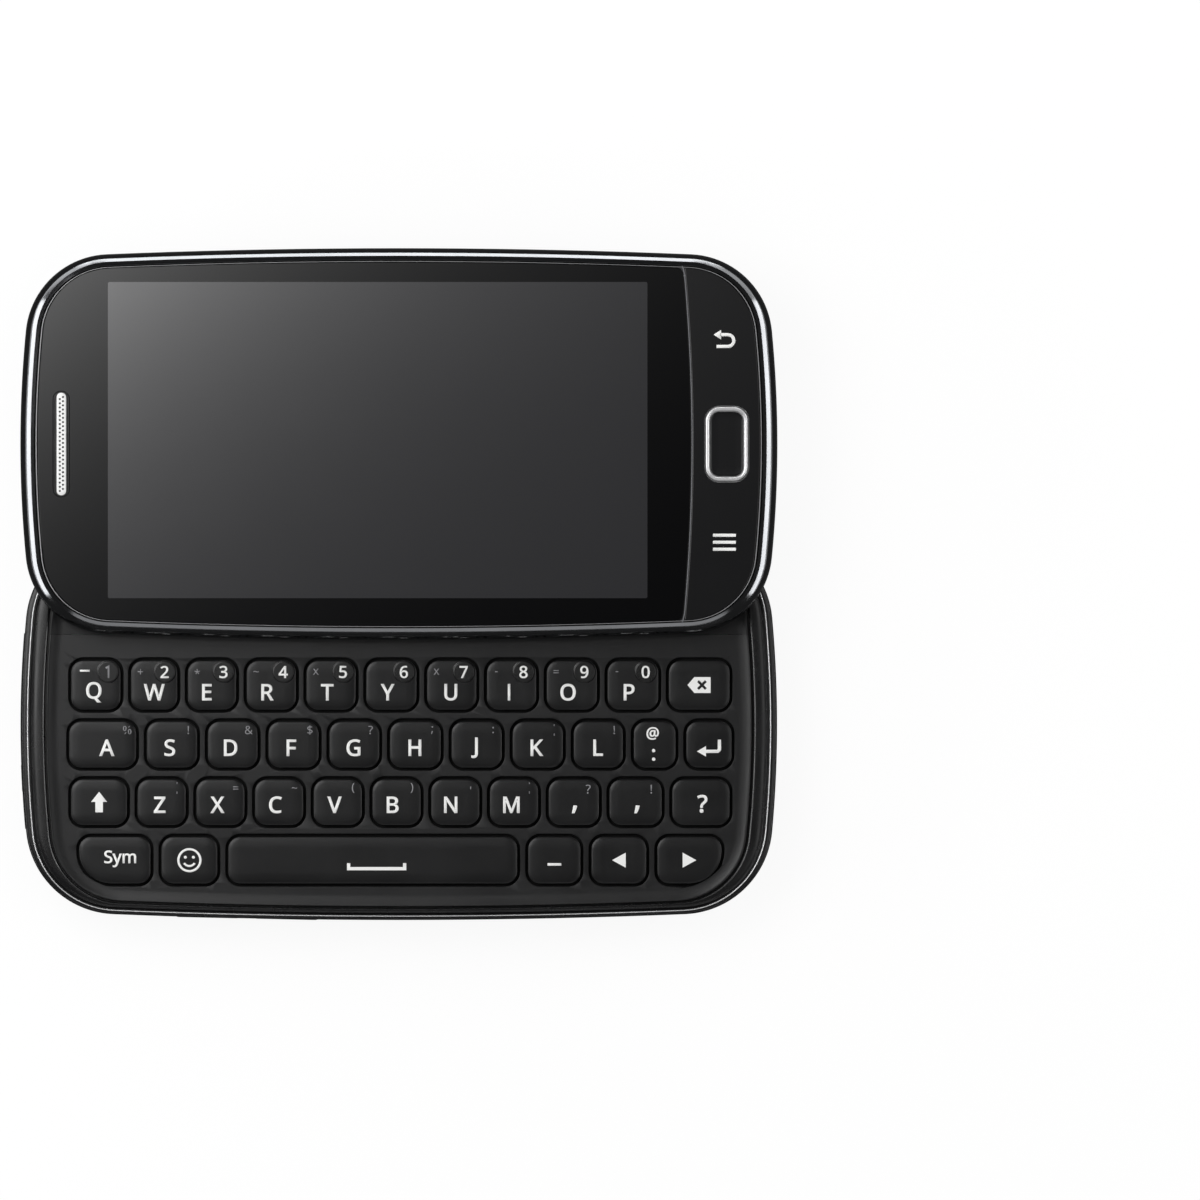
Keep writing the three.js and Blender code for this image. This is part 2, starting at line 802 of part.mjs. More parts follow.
function keypadBezel(layout) {
  const plate = loft([
    ring(outline(plateOutline(0)), bezel_bottom),
    ring(outline(plateOutline(0)), bezel_top + plate_lip_rise),
    ring(outline(plateOutline(plate_lip_width)), bezel_top),
  ]);
  const low = bezel_bottom - cutter_overrun;
  const high = bezel_top + cutter_overrun;
  const beyond = block(-half_length, half_length, bezel_far_edge - seam_gap, half_width, low, high);
  return cut(plate, [beyond, ...layout.map((key) => prism(keyOutline(key, key_clearance), low, high))]);
}

function keypadMat() {
  const near_radius = corner_key_radius + key_gap;
  const radii = [key_corner_radius, key_corner_radius, near_radius, near_radius];
  const points = roundedRectangle(
    keypad_shift - keypad_half_length,
    keypad_shift + keypad_half_length,
    keypad_near_edge,
    keypad_far_edge,
    radii,
    [2, 2, 5, 5],
  );
  return prism(points, mat_bottom, mat_top);
}

// Metal plate of the deck that carries the two T shoes
function slideRailPlate() {
  const plate = common(
    prism(outline(plateOutline(0)), bezel_bottom, bezel_top),
    block(-half_length, half_length, bezel_far_edge, half_width, 0, deck_top),
  );
  const shoe = (x) => {
    const tee = (width, bottom, top) =>
      block(x - width / 2, x + width / 2, shoe_y - shoe_length / 2, shoe_y + shoe_length / 2, bottom, top);
    return [tee(shoe_neck_width, bezel_bottom, shoe_head_top), tee(shoe_head_width, shoe_head_bottom, shoe_head_top)];
  };
  return fused([plate, ...shoe(-shoe_x), ...shoe(shoe_x)]);
}

// Display half, drawn over the deck and then moved out by its travel
function displayFrame() {
  const wall = ring_wall_shares.map(([roll_share, rise_share]) => [
    ring_roll * roll_share,
    ring_roll * roll_share,
    display_bottom + rise_share * (display_top - display_bottom),
  ]);
  const glass_edges = [glass_end_inset - seam_gap, glass_side_inset - seam_gap];
  const path = [
    [frame_wall, frame_wall, display_bottom],
    ...wall,
    [...glass_edges, glass_top - glass_edge / 2],
    [...glass_edges, lcd_top],
    [frame_wall, frame_wall, lcd_top],
  ];
  return loft(
    path.map(([end, side, z]) => planRing(display_plan, end, side, z)),
    true,
  );
}

function slideCarriage() {
  const inset = frame_wall + seam_gap;
  const plate = prism(outline(shrink(display_plan, inset)), display_bottom, carriage_top);
  const reach = slide_travel / 2 + shoe_length / 2 + fit_gap;
  const channel = (x) => {
    const slot = (width, bottom, top) =>
      block(x - width / 2 - fit_gap, x + width / 2 + fit_gap, -reach, reach, bottom, top);
    return [
      slot(shoe_neck_width, display_bottom - cutter_overrun, display_bottom + channel_lip + fit_gap / 2),
      slot(shoe_head_width, display_bottom + channel_lip, carriage_top + cutter_overrun),
    ];
  };
  return cut(plate, [...channel(-shoe_x), ...channel(shoe_x)]);
}

const lcdModule = () =>
  block(
    lcd_left_inset - half_length,
    half_length - lcd_right_inset,
    lcd_side_inset - half_width,
    half_width - lcd_side_inset,
    lcd_bottom,
    lcd_top,
  );

// Everything to the right of the curved parting line between the glass and the side panel
function panelRegion(margin) {
  const line_x = half_length - divider_inset + margin;
  const centre = new THREE.Vector2(line_x - divider_radius, 0);
  const swing = Math.asin(phone_width / 2 / divider_radius);
  const points = [
    ...arcPoints(centre, divider_radius, -swing, swing, steps_per_corner),
    new THREE.Vector2(phone_length, half_width),
    new THREE.Vector2(phone_length, -half_width),
  ].reverse();
  return prism(points, glass_bottom - cutter_overrun, glass_top + cutter_overrun);
}

const glassSheet = () => {
  const inset = (edge) => outline(shrink(display_plan, glass_end_inset + edge, glass_side_inset + edge));
  return loft([
    ring(inset(0), glass_bottom),
    ring(inset(0), glass_top - glass_edge),
    ring(inset(glass_edge), glass_top),
  ]);
};

const earpieceSlot = (margin) =>
  roundedRectangle(
    earpiece_inset - half_length - earpiece_width / 2 - margin,
    earpiece_inset - half_length + earpiece_width / 2 + margin,
    -earpiece_length / 2 - margin,
    earpiece_length / 2 + margin,
    (earpiece_width / 2 + margin) * earpiece_round_share,
    [4, 4, 4, 4],
  );

const home_x = half_length - home_key_inset;
const homeOutline = (grow) =>
  centredRectangle(home_key_width + 2 * grow, home_key_length + 2 * grow, home_key_radius + grow).map((p) =>
    p.add(new THREE.Vector2(home_x, 0)),
  );

const screenGlass = () =>
  cut(glassSheet(), [
    panelRegion(-seam_gap / 2),
    prism(earpieceSlot(0), glass_bottom - cutter_overrun, glass_top + cutter_overrun),
  ]);

const navPanel = () =>
  cut(common(glassSheet(), panelRegion(seam_gap / 2)), [
    prism(homeOutline(seam_gap), glass_bottom - cutter_overrun, glass_top + cutter_overrun),
  ]);

const earpieceGrille = () => prism(earpieceSlot(-seam_gap), lcd_bottom, glass_top - earpiece_recess);

// Home key: a ring that stands a little proud, round a dished cap, over a flange and a stem
function homeKey() {
  const flange_top = glass_bottom - fit_gap;
  const crest = glass_top + home_key_proud;
  const stem = centredRectangle(home_stem_width, home_stem_width, home_stem_width / 2).map((p) =>
    p.add(new THREE.Vector2(home_x, 0)),
  );
  return loft([
    ring(stem, carriage_top + stroke_gap),
    ring(stem, flange_top - home_flange),
    ring(homeOutline(home_flange), flange_top - home_flange),
    ring(homeOutline(home_flange), flange_top),
    ring(homeOutline(0), flange_top),
    ring(homeOutline(0), crest - home_cap_dip),
    ring(homeOutline(-home_ring_width / 2), crest),
    ring(homeOutline(-home_ring_width), crest - home_cap_dip),
  ]);
}

// Materials
const paint = (color, roughness, metalness = 0) =>
  new THREE.MeshStandardMaterial({ color, roughness, metalness, side: THREE.FrontSide });
const dark_chrome = paint(0x3a3a3c, 0.18, 1);
const satin_plastic = paint(0x1c1c1d, 0.42);
const gloss_black = paint(0x08080a, 0.06);
const bezel_plastic = paint(0x262627, 0.38);
const key_plastic = paint(0x171718, 0.35);
const woven_plastic = paint(0x1a1a1b, 0.55);
const bright_metal = paint(0xc4c6c8, 0.22, 1);
const stamped_steel = paint(0x8d8f92, 0.35, 1);
const silicone = paint(0x4c4c50, 0.8);
const circuit_board = paint(0x123a26, 0.5);
const battery_wrap = paint(0x2b2c30, 0.5);
const lcd_frame = paint(0x55575a, 0.4, 0.6);

// Assembly
const phone = new THREE.Group();
const deck = new THREE.Group();
const display_half = new THREE.Group();
display_half.position.y = slide_travel;
phone.add(deck, display_half);

function place(half, name, geometry, material) {
  const mesh = new THREE.Mesh(geometry, material);
  mesh.name = name;
  half.add(mesh);
  return mesh;
}

function placeOnEdge(name, geometry, material, edge_place) {
  const mesh = place(deck, name, geometry, material);
  mesh.position.set(edge_place.x, edge_place.y, side_key_middle);
  mesh.rotation.z = edge_place.turn;
}

const layout = keyLayout();
place(deck, "lower_housing", lowerHousing(), satin_plastic);
place(deck, "battery_cover", batteryCover(), woven_plastic);
place(deck, "keypad_bezel", keypadBezel(layout), bezel_plastic);
place(deck, "keypad_mat", keypadMat(), silicone);
place(deck, "main_board", mainBoard(), circuit_board);
place(deck, "battery", batteryPack(), battery_wrap);
place(deck, "camera_trim_ring", cameraTrimRing(), bright_metal);
place(deck, "camera_module", cameraModule(), gloss_black);
place(deck, "top_end_cap", topEndCap(), satin_plastic);
place(deck, "slide_rail_plate", slideRailPlate(), stamped_steel);
place(deck, "usb_port_door", portDoor(), satin_plastic);
placeOnEdge("volume_rocker", volumeRocker(), satin_plastic, rocker_place);
placeOnEdge("shutter_button", sideKey(shutter), satin_plastic, shutter_place);
placeOnEdge("power_button", sideKey(power), satin_plastic, power_place);
for (const key of layout) place(deck, `key_${key.name}`, keyCap(key), key_plastic);

place(display_half, "display_frame", displayFrame(), dark_chrome);
place(display_half, "slide_carriage", slideCarriage(), stamped_steel);
place(display_half, "lcd_module", lcdModule(), lcd_frame);
place(display_half, "screen_glass", screenGlass(), gloss_black);
place(display_half, "nav_panel", navPanel(), gloss_black);
place(display_half, "earpiece_grille", earpieceGrille(), bright_metal);
place(display_half, "home_button", homeKey(), bright_metal);

export default phone;
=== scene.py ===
"""Dresses a side-slider phone with a full keyboard, open and lying on its back.

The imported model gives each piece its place, and this script builds the finished surfaces there:
the moulded shells, the keys and their printed legends, the dark chrome ring, the glass, the
trim and the textured cover. Lengths are in millimetres until a mesh is made.
"""

import logging
import math
from collections.abc import Callable, Iterator, Sequence
from contextlib import contextmanager
from dataclasses import dataclass
from enum import Enum
from functools import partial
from pathlib import Path

import bmesh
import bpy
from bpy.types import ID, Material, Mesh, Node, NodeSocket, NodeTree, Object
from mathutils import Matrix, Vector
from mathutils.bvhtree import BVHTree
from mathutils.geometry import delaunay_2d_cdt


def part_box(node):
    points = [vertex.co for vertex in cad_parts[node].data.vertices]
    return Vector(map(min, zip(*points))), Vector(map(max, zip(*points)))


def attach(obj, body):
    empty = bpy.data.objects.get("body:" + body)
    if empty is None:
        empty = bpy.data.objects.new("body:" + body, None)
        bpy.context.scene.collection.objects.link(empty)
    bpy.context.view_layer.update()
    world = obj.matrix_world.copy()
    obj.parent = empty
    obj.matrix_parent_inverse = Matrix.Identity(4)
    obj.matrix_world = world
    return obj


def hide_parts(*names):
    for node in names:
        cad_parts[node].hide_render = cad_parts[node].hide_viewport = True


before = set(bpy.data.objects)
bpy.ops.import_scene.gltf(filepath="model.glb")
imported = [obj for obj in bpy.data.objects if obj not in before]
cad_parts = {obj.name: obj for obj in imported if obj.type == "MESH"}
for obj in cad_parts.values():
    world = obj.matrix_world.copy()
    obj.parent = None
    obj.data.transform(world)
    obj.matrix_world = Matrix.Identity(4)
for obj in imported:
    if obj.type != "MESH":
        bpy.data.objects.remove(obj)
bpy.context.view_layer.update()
LOG = logging.getLogger("slider_phone")

MM = 0.001  # metres in a millimetre
NOISE_SPAN = (0.3, 0.7)  # nearly all values of the noise texture lie between these
LEAST_ROUGHNESS = 0.01
MOST_OF_LEG = 0.49  # the most of a section's leg that one rounded corner takes
LEAST_MITRE = 0.3  # keeps the mitre of a sharp corner short
OVERRUN = 2.0  # how far a cutting tool runs past what it cuts
Points = list[Vector]
Table = Sequence[Sequence[float]]
Surface = Callable[[float, float], float]  # gives a height at a place in plan


class Slot(Enum):
    """Material slots of the record, named for each dressed piece."""

    HOUSING = "housing_plastic"
    COVER = "woven_cover"
    BEZEL = "bezel_plastic"
    KEYS = "key_plastic"
    BATTERY = "battery_can"
    BRIGHT_METAL = "bright_metal"
    CAMERA_GLASS = "camera_glass"
    STEEL = "stamped_steel"
    RING = "dark_chrome"
    LCD = "lcd_panel"
    GLASS = "screen_glass"
    PANEL = "gloss_black"
    GRILLE = "grille_metal"
    HOME_KEY = "home_key_metal"


class Side(Enum):
    """Long sides of the deck, by the sign of Y."""

    NEAR = -1
    FAR = 1


class Ends(Enum):
    """What becomes of the two ends of a run of rings."""

    CAPPED = "both filled"
    LAST = "last one filled"
    OPEN = "left open"
    JOINED = "joined to each other"


def linear(hex_colour: str) -> tuple[float, float, float, float]:
    """Turns a colour to the linear values that a shader takes.

    Args:
        hex_colour: an sRGB colour such as "#1c1c1d".

    Returns:
        Red, green, blue and an alpha of 1.
    """
    channels = [int(hex_colour[i : i + 2], 16) / 255 for i in (1, 3, 5)]
    red, green, blue = (c / 12.92 if c <= 0.04045 else ((c + 0.055) / 1.055) ** 2.4 for c in channels)
    return red, green, blue, 1.0


def linked(name: str, data: ID) -> Object:
    """Puts a new object with its data into the scene."""
    made = bpy.data.objects.new(name, data)
    bpy.context.scene.collection.objects.link(made)
    return made


def shaped_mesh(piece: Object) -> Mesh:
    """Makes a mesh of what an object's curve or modifiers give."""
    bpy.context.view_layer.update()
    shaped = piece.evaluated_get(bpy.context.evaluated_depsgraph_get())
    return bpy.data.meshes.new_from_object(shaped)


def blank_material(name: str) -> Material:
    """Starts a material with an empty node tree."""
    material = bpy.data.materials.new(name)
    material.use_nodes = True
    material.node_tree.nodes.clear()
    return material


def add_node(
    tree: NodeTree,
    kind: str,
    inputs: dict[str | int, object] | None = None,
    settings: dict[str, object] | None = None,
) -> Node:
    """Adds a shader node with its settings and links.

    Args:
        tree: the node tree to add to.
        kind: the node's Blender type, without the ShaderNode that starts them all.
        inputs: what each input takes, by name or index: a value, an output socket, or a node,
            which gives its first output.
        settings: property values of the node.

    Returns:
        The new node.
    """
    node = tree.nodes.new(f"ShaderNode{kind}")
    for name, value in (settings or {}).items():
        setattr(node, name, value)
    for name, value in (inputs or {}).items():
        source = value.outputs[0] if isinstance(value, Node) else value
        if isinstance(source, NodeSocket):
            tree.links.new(source, node.inputs[name])
        else:
            node.inputs[name].default_value = source
    return node


@dataclass(frozen=True)
class Finish:
    """A surface as its maker made it: colour, gloss, and the fine texture that gives it grain.

    The grain is a bump of noise, and the mottle is how far the roughness drifts over the
    surface, as mould flow lines and handling leave it.
    """

    name: str
    colour: str
    roughness: float
    ior: float = 1.5
    metallic: float = 0.0
    grain_mm: float = 0.35
    grain_depth_mm: float = 0.004
    mottle: float = 0.05
    mottle_mm: float = 9.0
    raised_colour: str | None = None  # of the texture's high places, where they have their own

    def height(self, tree: NodeTree, place: NodeSocket) -> Node:
        """Makes the height of the texture, from 0 to 1, at a place on the object in metres."""
        grain = {"Vector": place, "Scale": 1 / (self.grain_mm * MM), "Detail": 2.0}
        return add_node(tree, "TexNoise", grain)

    def material(self) -> Material:
        """Builds the finish's material the first time it is asked for.

        Returns:
            The material, shared by every piece with this finish.
        """
        made = bpy.data.materials.get(self.name)
        if made is not None:
            return made
        made = blank_material(self.name)
        tree = made.node_tree
        place = add_node(tree, "TexCoord").outputs["Object"]
        patches = {"Vector": place, "Scale": 1 / (self.mottle_mm * MM), "Detail": 4.0}
        drift = {
            "Value": add_node(tree, "TexNoise", patches),
            "From Min": NOISE_SPAN[0],
            "From Max": NOISE_SPAN[1],
            "To Min": max(self.roughness - self.mottle, LEAST_ROUGHNESS),
            "To Max": self.roughness + self.mottle,
        }
        height = self.height(tree, place)
        bump = {"Height": height, "Distance": self.grain_depth_mm * MM, "Strength": 1.0}
        colour = linear(self.colour)
        if self.raised_colour:
            colours = {"Factor": height, 6: colour, 7: linear(self.raised_colour)}
            colour = add_node(tree, "Mix", colours, {"data_type": "RGBA"}).outputs[2]
        surface = {
            "Base Color": colour,
            "Metallic": self.metallic,
            "Roughness": add_node(tree, "MapRange", drift),
            "IOR": self.ior,
            "Normal": add_node(tree, "Bump", bump),
        }
        shader = add_node(tree, "BsdfPrincipled", surface)
        add_node(tree, "OutputMaterial", {"Surface": shader})
        return made


@dataclass(frozen=True)
class WovenEmboss(Finish):
    """Plastic moulded with a twill: diagonal ribs of small pips, like a woven cloth.

    The pips' tops are painted a little paler than the valleys: painted shade in the valleys.
    """

    rib_mm: float = 0.85
    pip_mm: float = 0.55
    pip_foot: float = 0.45  # height between two pips, as a share of the rib's
    rib_angle: float = math.radians(50)

    def height(self, tree: NodeTree, place: NodeSocket) -> Node:
        """Makes ribs and pips from two crossed waves.

        Args:
            tree: the material's node tree.
            place: the position on the object, in metres.

        Returns:
            The node that gives the height.
        """
        spin = {"Vector": place, "Angle": self.rib_angle}
        turned = add_node(tree, "VectorRotate", spin, {"rotation_type": "Z_AXIS"})
        axes = add_node(tree, "SeparateXYZ", {0: turned})
        waves = []
        for axis, spacing, foot in (("X", self.rib_mm, 0.0), ("Y", self.pip_mm, self.pip_foot)):
            turns = {0: axes.outputs[axis], 1: 2 * math.pi / (spacing * MM)}
            phase = add_node(tree, "Math", turns, {"operation": "MULTIPLY"})
            wave = add_node(tree, "Math", {0: phase}, {"operation": "SINE"})
            span = {"Value": wave, "From Min": -1.0, "From Max": 1.0, "To Min": foot}
            waves.append(add_node(tree, "MapRange", span))
        return add_node(tree, "Math", dict(enumerate(waves)), {"operation": "MULTIPLY"})


@dataclass(frozen=True)
class BrushedMetal(Finish):
    """Sheet metal with the fine straight lines that rolling and brushing leave along X."""

    line_mm: float = 0.12
    stretch: float = 40.0

    def height(self, tree: NodeTree, place: NodeSocket) -> Node:
        """Makes long thin streaks."""
        drawn = add_node(tree, "Mapping", {"Vector": place, "Scale": (1 / self.stretch, 1.0, 1.0)})
        return add_node(
            tree, "TexNoise", {"Vector": drawn, "Scale": 1 / (self.line_mm * MM), "Detail": 3.0}
        )


@dataclass(frozen=True)
class SolderMask(Finish):
    """Green lacquer over copper: the tracks show through as paler, slightly raised lines."""

    track_mm: float = 1.6
    track_edge: tuple[float, float] = (0.05, 0.12)  # where a track's slope starts and ends
    unevenness: float = 0.35

    def height(self, tree: NodeTree, place: NodeSocket) -> Node:
        """Makes a maze of tracks from the borders of square cells.

        Args:
            tree: the material's node tree.
            place: the position on the object, in metres.

        Returns:
            The node that gives the height.
        """
        maze = {"Vector": place, "Scale": 1 / (self.track_mm * MM), "Randomness": self.unevenness}
        borders = {"feature": "DISTANCE_TO_EDGE", "distance": "EUCLIDEAN"}
        cells = add_node(tree, "TexVoronoi", maze, borders)
        near, far = self.track_edge
        slope = {"Value": cells, "From Min": near, "From Max": far, "To Min": 1.0, "To Max": 0.0}
        return add_node(tree, "MapRange", slope)


# Injection-moulded ABS polished in the mould: deep black with a tight highlight
GLOSS_ABS = Finish("polished_abs", "#0c0c0d", 0.16, 1.54, grain_mm=1.2, grain_depth_mm=0.0015)
# The same plastic with a fine spark-eroded texture, which spreads its highlight into a sheen
SATIN_ABS = Finish("satin_abs", "#101011", 0.26, 1.54, grain_mm=0.3, grain_depth_mm=0.003)
# Polycarbonate plate with a satin paint, which keeps a broad faint highlight
BEZEL_PAINT = Finish("satin_painted_polycarbonate", "#131314", 0.36, 1.58, grain_mm=0.3)
# Polycarbonate caps with a soft matt lacquer: darker than the plate, with a dull sheen
KEY_LACQUER = Finish("matt_lacquered_polycarbonate", "#0f0f10", 0.34, 1.52, grain_mm=0.25)
# Matt black rubber of the web that carries each cap, made blacker than any other part: painted shade in the
# gaps round the keys and round the glass
GAP_SHADE_RUBBER = Finish("gap_shade_black_silicone", "#040404", 0.7, 1.35, grain_mm=0.3, mottle=0.02)
# Satin lacquer of the digit pads: paler and glossier than the cap, so that they stand out
BADGE_LACQUER = Finish("satin_lacquered_polycarbonate", "#191919", 0.28, 1.52, grain_mm=0.25)
# Screen-printed ink under the lacquer: flat, nearly white
LEGEND_INK = Finish("white_screen_printed_ink", "#f4f4f2", 0.5, grain_mm=0.2, grain_depth_mm=0.001)
# Second legends in a grey ink that the eye passes over
FAINT_INK = Finish("grey_screen_printed_ink", "#8c8c8f", 0.5, grain_mm=0.2, grain_depth_mm=0.001)
# Black nickel over polished metal: reflects dark, but keeps white highlights
DARK_CHROME = Finish(
    "black_nickel_plating", "#6b6c6e", 0.14, metallic=1.0, grain_mm=2.5, grain_depth_mm=0.001, mottle=0.02
)
# Bright nickel plate on the small trim: a clear mirror
BRIGHT_NICKEL = Finish(
    "bright_nickel_plating", "#d3d4d6", 0.2, metallic=1.0, grain_mm=0.5, grain_depth_mm=0.001, mottle=0.04
)
# Satin plate of the home key's ring and the crest, which spreads the light into an even silver; on the crest
# its pale line is a painted highlight of the rim's edge
NICKEL_AND_PAINTED_HIGHLIGHT = Finish(
    "satin_nickel_and_painted_highlight", "#ececed", 0.26, metallic=0.6, grain_mm=0.5, grain_depth_mm=0.0005, mottle=0.02
)
# Thin plated edge round the glass, pale as a painted highlight of the glass's polished edge: a line rather
# than a band of light
EDGE_HIGHLIGHT_NICKEL = Finish("plated_edge_highlight", "#adadaf", 0.35, metallic=0.35, grain_mm=0.4)
# Toughened glass backed with black print: black, with the sharp reflection of its front face
BACK_PRINTED_GLASS = Finish(
    "black_backed_cover_glass", "#050506", 0.05, 1.35, grain_mm=6, grain_depth_mm=0.0002, mottle=0.015
)
# Display behind the same glass: polariser films send back more light than the black print
POLARISER = Finish(
    "polarised_display_glass", "#2b2b2d", 0.07, 1.56, grain_mm=6, grain_depth_mm=0.0002, mottle=0.015
)
# Side panel moulded in black acrylic, a little greyer than the glass
BLACK_ACRYLIC = Finish("black_acrylic", "#161617", 0.1, 1.49, grain_mm=4, grain_depth_mm=0.0003, mottle=0.02)
# Silver lacquer of the perforated earpiece bar: pale and even
SILVER_PAINT = Finish("satin_silver_lacquer", "#f0f0ef", 0.35, metallic=0.1, grain_mm=0.2)
# Smoked silver lacquer of the strip between glass and panel: a grey line with little glint
DIM_SILVER = Finish("smoked_silver_lacquer", "#77777a", 0.35, metallic=0.25, grain_mm=0.2)
# Woven-texture cover moulded in matt ABS; its paler pip tops and darker valleys are painted shade
TWILL_COVER = WovenEmboss(
    "twill_embossed_abs", "#151516", 0.4, grain_depth_mm=0.06, mottle_mm=14, raised_colour="#252527"
)
# Stamped steel of the slide under a thin black paint, with an even satin sheen
PAINTED_STEEL = Finish("black_painted_steel", "#131314", 0.36, grain_mm=0.5)
# Die-cast carriage under the display, bead-blasted and darkened: a grey without a clear mirror
CAST_ALLOY = Finish(
    "bead_blasted_magnesium", "#6a6b6d", 0.48, metallic=1.0, grain_mm=0.4, grain_depth_mm=0.01
)
# Moulded rubber of the dome sheet: black, dull and slightly uneven
SILICONE_RUBBER = Finish("black_silicone_rubber", "#1d1d1f", 0.62, 1.41, grain_mm=0.6)
# Lacquered board with its copper tracks under the green
BOARD_LACQUER = SolderMask(
    "green_solder_mask", "#123a26", 0.3, 1.52, grain_depth_mm=0.03, raised_colour="#1f5a3c"
)
# Printed film shrunk round the cell: dark grey, faintly wavy
BATTERY_WRAP = Finish("printed_polyester_wrap", "#2b2c30", 0.32, 1.57, grain_mm=1.4, grain_depth_mm=0.006)
# Plated steel can of the display module, brushed along its length
LCD_CAN = BrushedMetal("plated_steel_frame", "#77797b", 0.36, metallic=1.0, grain_depth_mm=0.002)
# Coated camera glass: blue-black, with a sharp reflection
LENS_GLASS = Finish(
    "coated_lens_glass", "#0a0b12", 0.04, 1.75, grain_mm=3, grain_depth_mm=0.0002, mottle=0.01
)
# Gold flash on the battery's contacts: a warm yellow mirror
GOLD_CONTACT = Finish("gold_flashed_contact", "#c9a24a", 0.28, metallic=1.0, grain_mm=0.4, mottle=0.04)


def arc(centre: Vector, radius: float, start: float, end: float, steps: int) -> Points:
    """Points along an arc from a start angle to an end angle, both included."""
    turns = (start + (end - start) * i / steps for i in range(steps + 1))
    return [centre + radius * Vector((math.cos(turn), math.sin(turn))) for turn in turns]


def circle(centre: Vector, radius: float, steps: int) -> Points:
    """Points round a circle, anticlockwise from its right."""
    return arc(centre, radius, 0, 2 * math.pi, steps)[:-1]


def quarter_round(radius: float, steps: int, turn: float = math.pi / 2) -> list[tuple[float, float]]:
    """Section of a rounded edge: how far in from the side and how far under the top it runs."""
    turns = [step / steps * turn for step in range(steps + 1)]
    return [(radius * (1 - math.cos(t)), radius * (1 - math.sin(t))) for t in turns]


def rounded_rectangle(
    left: float, right: float, near: float, far: float, radii: float | Sequence[float], steps: int
) -> Points:
    """Outline of a rectangle with rounded corners.

    Args:
        left: lowest X.
        right: highest X.
        near: lowest Y.
        far: highest Y.
        radii: one corner radius, or those at far right, far left, near left and near right.
        steps: steps in each corner.

    Returns:
        The outline, anticlockwise.
    """
    corners = ((right, far, 1, 1), (left, far, -1, 1), (left, near, -1, -1), (right, near, 1, -1))
    each = radii if isinstance(radii, Sequence) else [radii] * 4
    points = []
    for turn, ((x, y, along, across), radius) in enumerate(zip(corners, each)):
        centre = Vector((x - along * radius, y - across * radius))
        points += arc(centre, radius, turn * math.pi / 2, (turn + 1) * math.pi / 2, steps)
    return points


def placed(middle: Vector, places: Table) -> Points:
    """Places points from a middle."""
    return [middle + Vector(place) for place in places]


def rounded_about(
    middle: Sequence[float], across: float, along: float, radius: float, steps: int
) -> Points:
    """Outline of a rounded rectangle from its middle and half its sides."""
    x, y = middle
    return rounded_rectangle(x - across, x + across, y - along, y + along, radius, steps)


def turned_area(outline: Points) -> float:
    """Area within an outline, below zero where it runs clockwise."""
    return sum(a.cross(b) for a, b in zip(outline, [*outline[1:], outline[0]])) / 2


def drawn_in(outline: Points, distance: float) -> Points:
    """Draws an outline in by an even distance.

    Args:
        outline: the outline, anticlockwise.
        distance: how far each edge moves in.

    Returns:
        The same count of points.
    """
    moved = []
    for i, point in enumerate(outline):
        behind = (point - outline[i - 1]).normalized()
        ahead = (outline[(i + 1) % len(outline)] - point).normalized()
        inward = Vector((-behind.y - ahead.y, behind.x + ahead.x)).normalized()
        mitre = max(inward.dot(Vector((-ahead.y, ahead.x))), LEAST_MITRE)
        moved.append(point + inward * distance / mitre)
    return moved


def filled(loops: Sequence[Points]) -> tuple[Points, list[tuple[list[int], list[int]]]]:
    """Fills some outlines with triangles.

    Args:
        loops: the outlines, which may lie in each other.

    Returns:
        The points, and each face with the outlines that it lies in.
    """
    flat = [p for loop in loops for p in loop]
    starts = [sum(len(loop) for loop in loops[:i]) for i in range(len(loops))]
    polygons = [list(range(start, start + len(loop))) for start, loop in zip(starts, loops)]
    made = delaunay_2d_cdt(flat, [], polygons, 1, 1e-6)
    return made[0], list(zip(made[2], made[5]))


